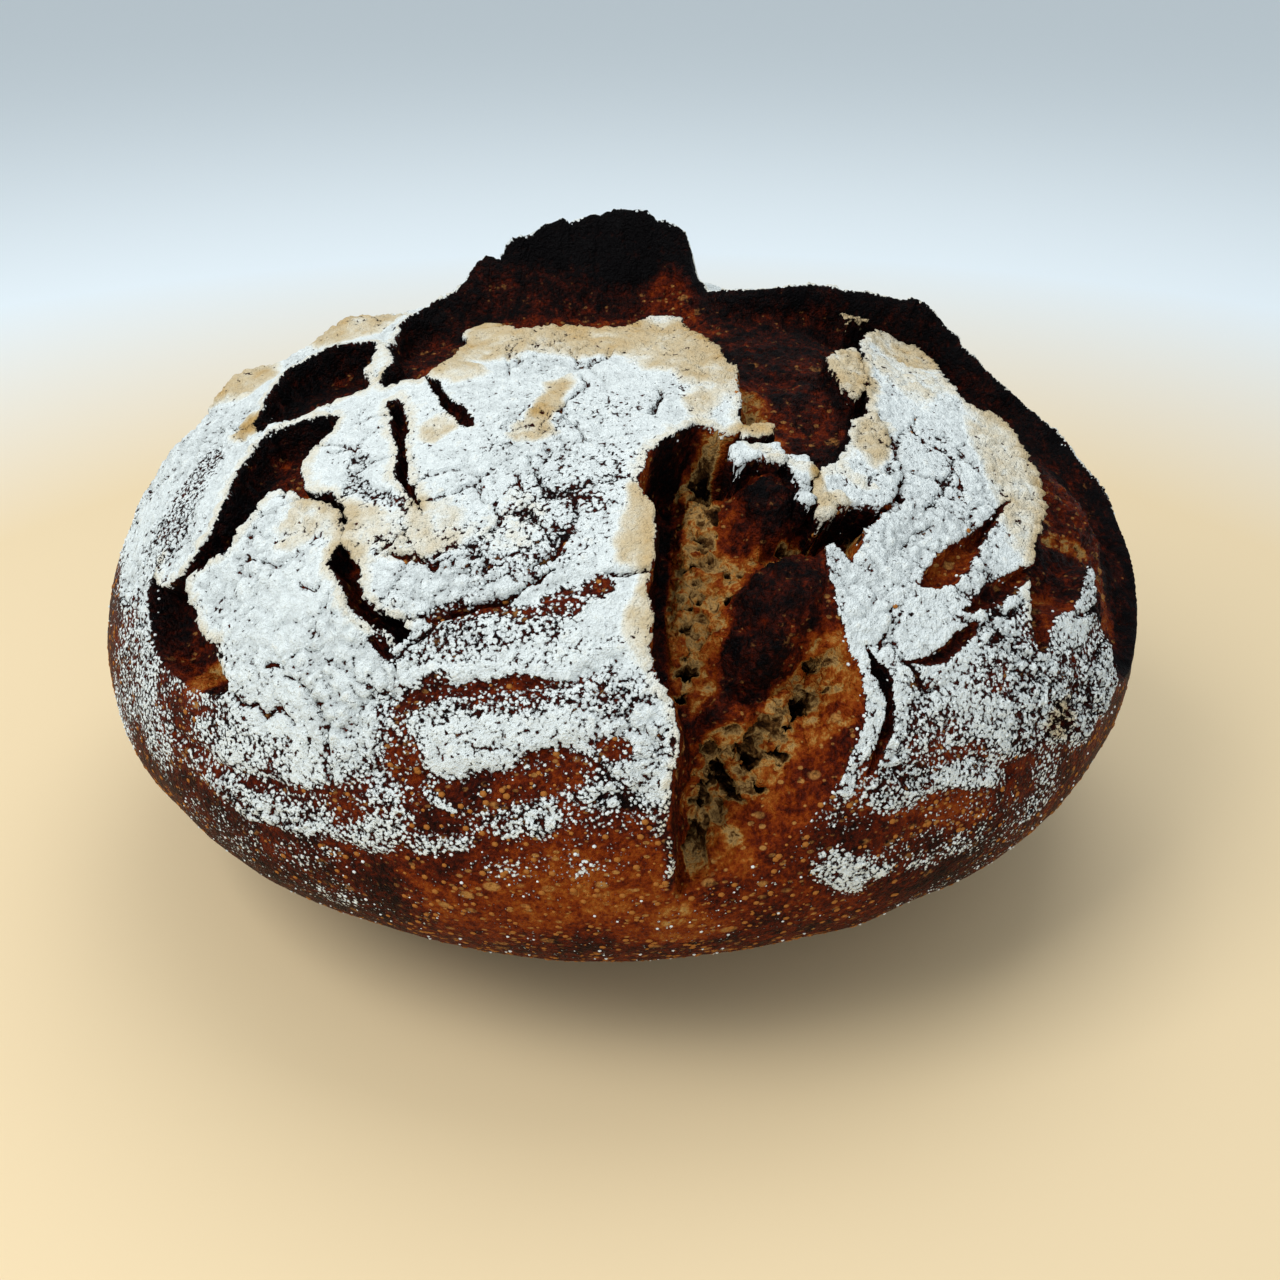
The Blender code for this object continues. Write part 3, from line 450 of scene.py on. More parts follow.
SINK_FROM = 2.5              # the body starts to sink this far inside a stretch's outline
SINK_OVER = 5.0
BODY_SQUARES = 84            # squares along an edge of the cube that is rounded into the body
BED_SQUARES = 190            # and into the bed for what is strewn
HIDDEN = {"flour": -1.0, "toast": 0.0, "bake": 0.93}     # the finish of skin out of sight


# ---------------------------------------------------------------------------------------
# Small tools
# ---------------------------------------------------------------------------------------
def smooth_step(value):
    """Rise from 0 to 1 with level ends as the value goes from 0 to 1."""
    clipped = np.clip(value, 0.0, 1.0)
    return clipped * clipped * (3.0 - 2.0 * clipped)


def lattice_value(cell, seed):
    """A fixed pseudo-random number in -1..1 for each whole-numbered cell corner."""
    mixed = (cell[:, 0] * 73856093) ^ (cell[:, 1] * 19349663) ^ (cell[:, 2] * 83492791)
    mixed = (mixed ^ (seed * 2654435761)) & 0xFFFFFFFF
    mixed = ((mixed ^ (mixed >> 13)) * 1274126177) & 0xFFFFFFFF
    return ((mixed ^ (mixed >> 16)) & 0xFFFF) / 32767.5 - 1.0


def noise(points, grain, seed):
    """Smooth noise in -1..1 with about one bump every `grain` millimetres."""
    scaled = points / grain
    cell = np.floor(scaled).astype(np.int64)
    blend = smooth_step(scaled - cell)
    total = np.zeros(len(points))
    for corner in np.ndindex(2, 2, 2):
        weight = np.prod(np.where(corner, blend, 1.0 - blend), axis=1)
        total += weight * lattice_value(cell + np.array(corner), seed)
    return total


def cells(points, size, seed):
    """Distances, in cells, to the nearest and the next of scattered points."""
    scaled = points / size
    cell = np.floor(scaled).astype(np.int64)
    nearest = np.full(len(points), 9.0)
    second = nearest.copy()
    for shift in np.ndindex(3, 3, 3):
        corner = cell + np.array(shift) - 1
        spot = np.stack([lattice_value(corner, seed + axis) for axis in range(3)], axis=1)
        distance = np.linalg.norm(scaled - corner - 0.5 - 0.45 * spot, axis=1)
        second = np.minimum(second, np.maximum(nearest, distance))
        nearest = np.minimum(nearest, distance)
    return nearest, second


def turned(chart, a, b, long, wide, turn):
    """Chart places as seen by an oval: 1 on its edge, less inside."""
    offset = chart - (a, b)
    along = offset @ (cos(turn), sin(turn)) / long
    across = offset @ (-sin(turn), cos(turn)) / wide
    return np.hypot(along, across)


def dab_on(chart, field, dabs):
    """Paint soft-edged ovals of a new value over a field, one after another."""
    for a, b, long, wide, turn, value in dabs:
        weight = 1.0 - smooth_step((turned(chart, a, b, long, wide, radians(turn)) - 0.6) / 0.7)
        field = field + weight * (value - field)
    return field


def closed_curve(outline, pieces=5):
    """A smooth closed curve through the outline's rows."""
    knots = np.array(outline, float)
    before, after, beyond = (np.roll(knots, shift, axis=0) for shift in (1, -1, -2))
    rows = []
    for step in range(pieces):
        t = step / pieces
        rows.append(0.5 * (2 * knots + (after - before) * t
                           + (2 * before - 5 * knots + 4 * after - beyond) * t ** 2
                           + (3 * knots - before - 3 * after + beyond) * t ** 3))
    return np.stack(rows, axis=1).reshape(-1, knots.shape[1])


def measure_loop(chart, loop):
    """Signed distance to a closed loop, positive outside, the way to its nearest point, and
    the loop's further columns there."""
    nearest = np.full(len(chart), np.inf)
    way = np.zeros((len(chart), 2))
    extra = np.zeros((len(chart), loop.shape[1] - 2))
    inside = np.zeros(len(chart), bool)
    for start, end in zip(loop, np.roll(loop, -1, axis=0)):
        run = end[:2] - start[:2]
        offset = chart - start[:2]
        along = np.clip(offset @ run / max(run @ run, 1e-9), 0.0, 1.0)
        reach = along[:, None] * run - offset
        distance = np.hypot(reach[:, 0], reach[:, 1])
        closer = distance < nearest
        nearest[closer] = distance[closer]
        way[closer] = reach[closer]
        extra[closer] = (start[2:] + along[:, None] * (end[2:] - start[2:]))[closer]
        spans = (start[1] > chart[:, 1]) != (end[1] > chart[:, 1])
        rise = run[1] if run[1] else 1e-9
        inside ^= spans & (chart[:, 0] < start[0] + (chart[:, 1] - start[1]) / rise * run[0])
    side = np.where(inside, -1.0, 1.0)
    way *= (side / np.maximum(nearest, 1e-6))[:, None]
    return side * nearest, way, extra


def near_loop(chart, loop, sight):
    """Which chart places lie within sight of a loop's box."""
    low, high = loop[:, :2].min(axis=0) - sight, loop[:, :2].max(axis=0) + sight
    return np.flatnonzero(((chart > low) & (chart < high)).all(axis=1))


def line_distance(chart, line):
    """Distance to an open line."""
    nearest = np.full(len(chart), np.inf)
    for start, end in zip(line[:-1], line[1:]):
        run = np.subtract(end, start).astype(float)
        offset = chart - start
        along = np.clip(offset @ run / (run @ run), 0.0, 1.0)
        nearest = np.minimum(nearest, np.linalg.norm(offset - along[:, None] * run, axis=1))
    return nearest


# ---------------------------------------------------------------------------------------
# The plain dome and its chart
# ---------------------------------------------------------------------------------------
def section_sizes(y, z):
    """The dome's half depth, height and roundness on the side of each point."""
    depth = np.where(y < 0.0, FRONT_DEPTH, BACK_DEPTH)
    rise = np.where(z > 0.0, DOME_RISE, SKIRT_DROP)
    return depth, rise, np.where(z > 0.0, DOME_ROUNDNESS, SKIRT_ROUNDNESS)


def plain_loaf(direction):
    """Where a ray from the loaf's middle leaves the plain dome; the base isn't flat yet."""
    x, y, z = direction.T
    depth, rise, roundness = section_sizes(y, z)
    plan = np.hypot(x / HALF_WIDTH, y / depth)
    reach = (plan ** roundness + np.abs(z / rise) ** roundness) ** (-1.0 / roundness)
    return direction * reach[:, None]


def plain_normal(point):
    """The outward normal of the plain dome."""
    x, y, z = point.T
    depth, rise, roundness = section_sizes(y, z)
    plan = np.maximum(np.hypot(x / HALF_WIDTH, y / depth), 1e-6)
    along = plan ** (roundness - 2.0)
    slope = np.stack([along * x / HALF_WIDTH ** 2, along * y / depth ** 2,
                      np.sign(z) * np.abs(z / rise) ** (roundness - 1.0) / rise], axis=1)
    return slope / np.linalg.norm(slope, axis=1)[:, None]


def ray(tilt, heading):
    """A direction from its tilt off straight up and its heading."""
    tilt, heading = np.broadcast_arrays(tilt, heading)
    return np.stack([np.sin(tilt) * np.cos(heading), np.sin(tilt) * np.sin(heading),
                     np.cos(tilt)], axis=-1)


HEADINGS = np.linspace(-np.pi, np.pi, 361)
TILTS = np.linspace(0.0, np.pi, 181)
FARTHEST = 205.0
WALKS = np.linspace(0.0, FARTHEST, 411)


def walk_tables():
    """Distance walked from the crown for each heading and tilt, and the tilt for each walk."""
    rays = ray(TILTS[None, :], HEADINGS[:, None])
    skin = plain_loaf(rays.reshape(-1, 3)).reshape(rays.shape)
    legs = np.linalg.norm(np.diff(skin, axis=1), axis=2)
    walked = np.concatenate([np.zeros((len(HEADINGS), 1)), np.cumsum(legs, axis=1)], axis=1)
    tilt = np.stack([np.interp(WALKS, row, TILTS) for row in walked])
    return walked, tilt


WALKED, TILT_AT = walk_tables()


def look_up(table, heading, other, last):
    """Read a table of headings against values spread evenly from 0 to last."""
    row = (heading + np.pi) / (2.0 * np.pi) * (len(HEADINGS) - 1)
    column = np.clip(other / last, 0.0, 1.0) * (table.shape[1] - 1)
    i = np.clip(np.floor(row).astype(int), 0, len(HEADINGS) - 2)
    k = np.clip(np.floor(column).astype(int), 0, table.shape[1] - 2)
    u, v = row - i, column - k
    return (table[i, k] * (1 - u) * (1 - v) + table[i + 1, k] * u * (1 - v)
            + table[i, k + 1] * (1 - u) * v + table[i + 1, k + 1] * u * v)


def direction_at(chart):
    """The direction from the loaf's middle of each place on the chart."""
    heading = np.arctan2(chart[:, 1], chart[:, 0])
    walk = np.hypot(chart[:, 0], chart[:, 1])
    return ray(look_up(TILT_AT, heading, walk, FARTHEST), heading)


def chart_at(direction):
    """The place on the chart of each direction from the loaf's middle."""
    heading = np.arctan2(direction[:, 1], direction[:, 0])
    walk = look_up(WALKED, heading, np.arccos(np.clip(direction[:, 2], -1, 1)), np.pi)
    return walk[:, None] * np.stack([np.cos(heading), np.sin(heading)], axis=1)


def along_skin(move, chart, normal):
    """A move on the chart as a move in space along the skin."""
    walk = np.maximum(np.hypot(chart[:, 0], chart[:, 1]), 1e-6)
    heading = chart / walk[:, None]
    outward = np.concatenate([heading, np.zeros((len(chart), 1))], axis=1)
    outward -= (outward * normal).sum(axis=1)[:, None] * normal
    outward /= np.maximum(np.linalg.norm(outward, axis=1), 1e-6)[:, None]
    round_about = np.cross(normal, outward)
    out_part = (move * heading).sum(axis=1)
    round_part = move[:, 1] * heading[:, 0] - move[:, 0] * heading[:, 1]
    return out_part[:, None] * outward + round_part[:, None] * round_about


# ---------------------------------------------------------------------------------------
# The crust's surface
# ---------------------------------------------------------------------------------------
def swell_height(direction):
    """Broad swells and hollows of the whole skin."""
    total = np.zeros(len(direction))
    for towards, height, reach in SWELLS:
        axis = np.array(towards) / np.linalg.norm(towards)
        angle = np.arccos(np.clip(direction @ axis, -1.0, 1.0))
        total += height * np.exp(-(angle / reach) ** 2)
    return total


def ear_height(chart, gap, point):
    """The flap behind the crown tear: tallest at its jagged rim, falling away to the back."""
    across, height = zip(*EAR_RIM)
    middle, half_width, root_height = EAR_ROOT
    behind = np.maximum(gap, 0.0)
    rim = np.interp(chart[:, 0], across, height)
    jagged = 1.5 * noise(point, 4.5, 41) + 1.0 * noise(point, 2.0, 42)
    rim += jagged * smooth_step(rim / 8.0) * np.exp(-behind / 3.0)
    root = root_height * np.exp(-((chart[:, 0] - middle) / half_width) ** 2)
    flap = rim + (root - rim) * smooth_step(behind / EAR_ROOT_BACK)
    foot = smooth_step((chart[:, 1] - EAR_FOOT) / EAR_FOOT_WIDTH)
    return flap * foot * np.exp(-behind / EAR_REACH)


def tear_crust(chart, ragged, point):
    """What the tears do: height, curl, how far down their walls, and bake of the torn skin."""
    count = len(chart)
    lifted, sunk, torn, plate = np.zeros(count), np.zeros(count), np.zeros(count), np.ones(count)
    bake, rim = np.full(count, -1.0), np.full(count, 99.0)
    curl = np.zeros((count, 2))
    for tear in TEARS:
        floor, floor_bake, outline = tear
        loop = closed_curve(outline)
        seen = near_loop(ragged, loop, TEAR_SIGHT)
        if not len(seen):
            continue
        gap, way, extra = measure_loop(ragged[seen], loop)
        lip, wall = np.maximum(extra[:, 0], 0.0), extra[:, 1]
        inward = np.clip(-gap / wall, 0.0, 1.0)
        down = 1.0 - (1.0 - inward) ** 2
        rise = lip * np.exp(-np.maximum(gap, 0.0) / LIP_REACH)
        if tear is CROWN_TEAR:
            rise += ear_height(chart[seen], gap, point[seen])
        lean = np.where(gap > 0.0, np.exp(-(gap / 5.0) ** 2), 1.0 - smooth_step(inward * 1.8))
        here, elsewhere = 1.0 - down, 1.0 - torn[seen]
        lifted[seen] = np.maximum(lifted[seen] * here, rise * here * elsewhere)
        sunk[seen] = np.minimum(sunk[seen], floor * down)
        curl[seen] *= here[:, None]
        curl[seen] += (CURL * lip * lean * elsewhere)[:, None] * way
        torn[seen] = np.maximum(torn[seen], down)
        plate[seen] = np.minimum(plate[seen], smooth_step((gap + 0.2) / 0.6))
        sharp = smooth_step(lip / 0.8)
        rim[seen] = np.minimum(rim[seen], np.abs(gap) + 6.0 * (1.0 - sharp))
        floor_here = floor_bake + 0.12 * sharp * (1.0 - smooth_step(-gap / 5.0))
        bake[seen] = np.where(gap < 0.6, np.maximum(bake[seen], floor_here), bake[seen])
    return lifted + sunk, curl, torn, plate, rim, bake


def torn_floor(ragged):
    """The coarse form of what lies inside the tears: swollen dough, hollows and open holes."""
    dough, hollow, hole = np.zeros((3, len(ragged)))
    for a, b, half_length, half_width, turn, rise in SWOLLEN_DOUGH:
        oval = turned(ragged, a, b, half_width, half_length, turn)
        dough = np.maximum(dough, rise * np.exp(-oval ** 3))
    for a, b, long, wide, turn, depth in HOLLOWS:
        oval = turned(ragged, a, b, long, wide, turn)
        hollow = np.maximum(hollow, depth * np.exp(-oval ** 3))
    for a, b, long, wide, turn, depth in CRUMB_HOLES:
        oval = turned(ragged, a, b, long, wide, turn)
        hole = np.maximum(hole, depth * (1.0 - smooth_step((oval - 0.55) / 0.6)))
    return dough - hollow, hole


def scraps(ragged, height, plate):
    """Raise the crust scraps to their level, and count their tops as floured crust; gives
    where their sides are, which get painted dark as the shadow under the scraps."""
    scrap_side_shadow = np.zeros(len(ragged))
    for level, outline in CRUST_SCRAPS:
        loop = closed_curve(outline)
        seen = near_loop(ragged, loop, SCRAP_SIGHT)
        if len(seen):
            gap, _, _ = measure_loop(ragged[seen], loop)
            step_down = np.abs(level - height[seen]) > 1.2
            height[seen] += (level - height[seen]) * smooth_step((0.4 - gap) / 0.9)
            top = smooth_step((-0.25 - gap) / 0.35)
            side = step_down * smooth_step((0.8 - gap) / 0.4) * (1.0 - top)
            scrap_side_shadow[seen] = np.maximum(scrap_side_shadow[seen] * (1.0 - top), side)
            plate[seen] = np.maximum(plate[seen] * (1.0 - side), top)
    return scrap_side_shadow


def cracks_and_furrows(ragged):
    """Depth of the fine cracks and basket furrows, and where the cracks run."""
    depth, cracked = np.zeros((2, len(ragged)))
    for half_width, drop, line in CRACKS:
        seen = near_loop(ragged, np.array(line, float), CRACK_SIGHT)
        if len(seen):
            away = line_distance(ragged[seen], line) / half_width
            groove = 1.0 - smooth_step((away - 0.3) / 0.9)
            depth[seen] += drop * groove
            cracked[seen] = np.maximum(cracked[seen], groove)
    for half_width, drop, line in FURROWS:
        seen = near_loop(ragged, np.array(line, float), FURROW_SIGHT)
        if len(seen):
            away = line_distance(ragged[seen], line) / half_width
            depth[seen] += drop * (1.0 - smooth_step(away))
    return depth, cracked


def pits(point, size, seed, width=0.55):
    """Rounded pits with thin walls between them: 0 on the walls, 1 at a pit's bottom."""
    near, _ = cells(point, size, seed)
    return np.sqrt(np.clip(1.0 - (near / width) ** 2, 0.0, 1.0))


def lumps(point, size, seed):
    """Rounded lumps with creases between them: 1 on a lump, 0 in a crease."""
    near, next_near = cells(point, size, seed)
    return smooth_step((next_near - near) / 0.35)


def crazing(point, size, seed, half_width):
    """A web of cracks with its cells about `size` wide: 1 along a crack, 0 off it."""
    near, next_near = cells(point, size, seed)
    return 1.0 - smooth_step(((next_near - near) * size / 2.0 / half_width - 0.4) / 0.9)


def wandering(plain):
    """How the chart is shaken, widely and finely, so that no edge or dab is smooth."""
    wander = np.stack([noise(plain, 9.0, 1) + 0.5 * noise(plain, 3.5, 2),
                       noise(plain, 9.0, 3) + 0.5 * noise(plain, 3.5, 4)], axis=1)
    fine_wander = np.stack([noise(plain, 1.6, 11), noise(plain, 1.6, 12)], axis=1)
    return wander, fine_wander


def floured_relief(coarse, stretched, lying, shell):
    """Clumps, knolls and a web of cracks in the flour: its relief, the creases that get painted
    shade, web and lumpiness.
    """
    lumpy = smooth_step(0.45 + 1.2 * noise(coarse, 15.0, 33))
    cauliflower = 0.50 * lumps(stretched, 3.6, 34) + 0.32 * lumps(stretched, 1.8, 37)
    grain = 0.14 * noise(coarse, 0.9, 17) + 0.12 * noise(coarse, 1.9, 18)
    knoll = 0.45 * lumpy * noise(coarse, 6.5, 45)
    webbed = smooth_step(0.1 + 1.6 * noise(coarse, 17.0, 46)) * lying * (1.0 - shell)
    bent = coarse + 1.1 * np.stack([noise(coarse, 3.0, seed) for seed in (47, 48, 49)], axis=1)
    web = webbed * crazing(bent, 13.0, 51, 0.34)
    relief = lying * (0.1 + knoll + grain + (0.35 + 0.85 * lumpy) * cauliflower) - 0.8 * web
    crease = lying * (0.45 + 0.55 * lumpy) * (1.0 - cauliflower / 0.82)
    return relief, crease, web, lumpy


def toasting(chart, coarse, wander, fine_wander):
    """How toasted the flour is, and where the smooth cream flap lies."""
    toast = dab_on(chart + 1.6 * wander, np.zeros(len(chart)), TOAST_DABS)
    toast = toast * (1.0 + 0.45 * noise(coarse, 4.0, 20) + 0.3 * noise(coarse, 1.8, 21))
    outside, _, _ = measure_loop(chart + 0.5 * fine_wander, np.array(CREAM_FLAP, float))
    return toast, smooth_step((0.8 - outside) / 2.2)


def crust(direction, chart, faces):
    """The crust's surface, and the finish of each of its points."""
    plain = plain_loaf(direction)
    normal = plain_normal(plain)
    wander, fine_wander = wandering(plain)
    ragged = chart + 0.9 * wander + 0.45 * fine_wander

    height, curl, torn, plate, rim, bake = tear_crust(chart, ragged, plain)
    untorn = bake < 0.0
    bake = dab_on(chart + 0.8 * wander, np.where(untorn, UNTORN_BAKE, bake), BAKE_DABS)
    floor, hole = torn_floor(ragged)
    height += torn * (floor - hole)
    scrap_side_shadow = scraps(ragged, height, plate)
    depth, cracked = cracks_and_furrows(ragged)
    height += swell_height(direction) - depth
    for a, b, long, wide, turn, rise in KNOLLS:
        height += rise * (1.0 - torn) * np.exp(-turned(ragged, a, b, long, wide, turn) ** 2)
    height += 0.5 * noise(plain, 24.0, 5) + 0.35 * noise(plain, 11.0, 6)
    coarse = plain + height[:, None] * normal + along_skin(curl, chart, normal)
    stretched = coarse + 0.7 * np.stack([fine_wander[:, 0], fine_wander[:, 1], wander[:, 0]], 1)
    shell = torn * np.maximum(0.0, 1.0 - plate)

    # Flour thins out down the sides and falls off torn skin and out of cracks
    walk = np.hypot(chart[:, 0], chart[:, 1])
    flour = FLOUR_ON_TOP - 2.0 * smooth_step((walk - FLOUR_THINS_FROM) / FLOUR_THINS_OVER)
    flour = dab_on(chart + 1.2 * wander, flour, FLOUR_DABS)
    flour += 0.16 * noise(coarse, 6.0, 15) + 0.16 * noise(coarse, 2.4, 13)
    flour = np.where(plate > 0.02, (flour + 1.0) * plate - 1.0, -1.0) - 1.6 * cracked
    lying = smooth_step((flour - 0.3) / 0.4)

    # Open crumb where the torn skin is least baked, rough knobbly skin elsewhere
    crumb = 1.0 - smooth_step((bake - 0.34) / 0.22)
    open_crumb = smooth_step(0.5 + 0.9 * noise(coarse, 9.0, 22))
    big, middle, small = (pits(stretched, size, seed) for size, seed in CRUMB_PITS)
    crumb_relief = -2.2 * big * open_crumb - 1.1 * middle - 0.45 * small
    rough = noise(coarse, 5.5, 7) + 0.75 * noise(coarse, 2.6, 8) + 0.5 * noise(coarse, 1.3, 9)
    skin_relief = 0.62 * (rough + 0.3) + 0.45 * (lumps(coarse, 1.9, 32) - 0.8)
    relief = shell * (crumb * (1.2 + crumb_relief) + (1.0 - crumb) * skin_relief)
    clumps, crease, web, lumpy = floured_relief(coarse, stretched, lying, shell)
    relief += clumps
    relief += (1.0 - lying) * (1.0 - shell) * 0.10 * noise(coarse, 1.6, 19)
    points = coarse + relief[:, None] * mesh_normals(coarse, faces)

    # Thinner flour in the creases between clumps paints shade into them; along the web of cracks the
    # flour has fallen out
    flour -= 0.42 * smooth_step((crease - 0.35) / 0.4) + 0.85 * web
    flour -= lying * 0.16 * smooth_step(0.1 + 1.3 * noise(coarse, 13.0, 52)) * (1.0 - lumpy)
    toast, on_flap = toasting(chart, coarse, wander, fine_wander)
    on_flap *= plate
    toast = np.maximum(toast, (0.95 + 0.25 * noise(coarse, 2.0, 54)) * on_flap)
    flour += (1.5 - flour) * on_flap
    edge = 1.0 - smooth_step((rim - 0.6) / 2.6)
    toast += 0.45 * edge * plate
    # Painted shade: the flour in the creases and cracks is turned grey
    toast -= (0.55 * crease + 0.30 * web) * (1.0 - smooth_step(toast / 0.8))

    mottle = 0.12 * noise(coarse, 3.6, 24) + 0.09 * noise(coarse, 1.5, 27)
    # Painted shade: the crumb is drawn darker the deeper it lies in its pits
    pit_shade = 0.75 * big * open_crumb + 0.42 * middle + 0.10 * small
    bake += shell * (mottle - crumb * (pit_shade - 0.12) + 0.07 * (1.0 - crumb) * rough)
    bake += np.where(untorn, 0.16 * edge + 0.06 * noise(coarse, 8.0, 53), 0.0)
    # Crust under the flour is dark; the sides of the scraps are painted dark as well, as painted
    # shadow under them
    bake += (0.90 - bake) * np.maximum(0.85 * lying * plate, scrap_side_shadow)
    # Painted shade: the open holes in the crumb are drawn near black
    bake += (-0.95 - bake) * shell * smooth_step(hole / 2.2)
    return points, {"flour": flour, "toast": toast, "bake": bake}


def stretch_depth(chart, outline):
    """How far inside a stretch's outline each chart place lies, in millimetres."""
    gap, _, _ = measure_loop(chart, np.array(outline, float))
    return -gap


def flatten_base(z):
    """Lay everything below the table on it, with a rounded heel."""
    raised = np.maximum(z + HEEL_RADIUS, 0.0)
    return np.where(z < HEEL_RADIUS, raised ** 2 / (4.0 * HEEL_RADIUS), z)


# ---------------------------------------------------------------------------------------
# Meshes
# ---------------------------------------------------------------------------------------
def mesh_normals(points, faces):
    """Vertex normals of a mesh of four-sided faces."""
    one, two, three, four = (points[faces[:, corner]] for corner in range(4))
    across = np.cross(three - one, four - two)
    total = np.zeros_like(points)
    for corner in range(4):
        for axis in range(3):
            total[:, axis] += np.bincount(faces[:, corner], across[:, axis], len(points))
    return total / np.maximum(np.linalg.norm(total, axis=1), 1e-9)[:, None]


def settle(points, shift):
    """Stand millimetre points on the table, centred as the solid is, in metres."""
    placed = points.copy()
    placed[:, 2] = flatten_base(placed[:, 2] + MIDDLE_HEIGHT)
    low = np.clip(1.0 - placed[:, 2] / FOOT_HEIGHT, 0.0, 1.0)
    placed[:, :2] *= (1.0 + FOOT_SPREAD * low ** 2)[:, None]
    return (placed + shift) * MM


def mesh_object(name, points, faces, finish, uv):
    """A smooth-shaded mesh object with its finish as attributes and its own texture map."""
    mesh = bpy.data.meshes.new(name)
    mesh.from_pydata(points, [], faces)
    for key, values in finish.items():
        mesh.attributes.new(key, "FLOAT", "POINT").data.foreach_set("value", values)
    layer = mesh.uv_layers.new(name="OFBake")
    corner_vertex = np.empty(len(mesh.loops), int)
    mesh.loops.foreach_get("vertex_index", corner_vertex)
    layer.data.foreach_set("uv", uv[corner_vertex].ravel())
    mesh.shade_smooth()
    mesh.update()
    piece = bpy.data.objects.new(name, mesh)
    bpy.context.scene.collection.objects.link(piece)
    return piece


def ball_directions(along_edge):
    """Directions and faces of a cube cut into squares and rounded into a ball, with the
    place of each of its corners on an unfolded map."""
    steps = np.tan(np.linspace(-1.0, 1.0, along_edge + 1) * np.pi / 4.0)
    u, v = np.meshgrid(steps, steps, indexing="ij")
    one = np.ones_like(u)
    sides = [(one, u, v), (-one, -u, v), (-u, one, v), (u, -one, v), (-v, u, one), (v, u, -one)]
    corners = np.concatenate([np.stack(side, axis=-1).reshape(-1, 3) for side in sides])
    _, first, same = np.unique(np.round(corners, 6), axis=0, return_index=True,
                               return_inverse=True)
    row = along_edge + 1
    i, k = np.meshgrid(np.arange(along_edge), np.arange(along_edge), indexing="ij")
    quad = np.stack([i * row + k, (i + 1) * row + k, (i + 1) * row + k + 1, i * row + k + 1],
                    axis=-1).reshape(-1, 4)
    faces = same.reshape(-1)[np.concatenate([quad + side * row * row for side in range(6)])]
    unit = corners[first]
    return unit / np.linalg.norm(unit, axis=1)[:, None], faces


def make_body(shift, along_edge):
    """The whole loaf as one closed skin, sunk a little where finer crust lies over it."""
    direction, faces = ball_directions(along_edge)
    chart = chart_at(direction)
    points, finish = crust(direction, chart, faces)
    normal = plain_normal(plain_loaf(direction))
    sink, covered = np.zeros((2, len(chart)))
    for _, _, _, bed, outline in STRETCHES:
        under = smooth_step((stretch_depth(chart, outline) - SINK_FROM) / SINK_OVER)
        sink = np.maximum(sink, bed * under)
        covered = np.maximum(covered, under)
    points -= sink[:, None] * normal
    finish = {key: values + covered * (HIDDEN[key] - values) for key, values in finish.items()}
    placed = settle(points, shift)
    flat_map = chart / (2.0 * FARTHEST) + 0.5
    return mesh_object("loaf_body", placed, faces.tolist(), finish, flat_map)


def kept_blocks(centres, outline):
    """Which blocks of a grid a stretch keeps, with no two meeting at a corner only."""
    depth = stretch_depth(centres.reshape(-1, 2), outline).reshape(centres.shape[:2])
    keep = np.pad(depth > -STRETCH_MARGIN, 1)
    for _ in range(4):
        falling = keep[:-1, :-1] & keep[1:, 1:] & ~keep[1:, :-1] & ~keep[:-1, 1:]
        rising = keep[1:, :-1] & keep[:-1, 1:] & ~keep[:-1, :-1] & ~keep[1:, 1:]
        keep[1:, :-1] |= falling
        keep[:-1, :-1] |= rising
    return keep[1:-1, 1:-1]


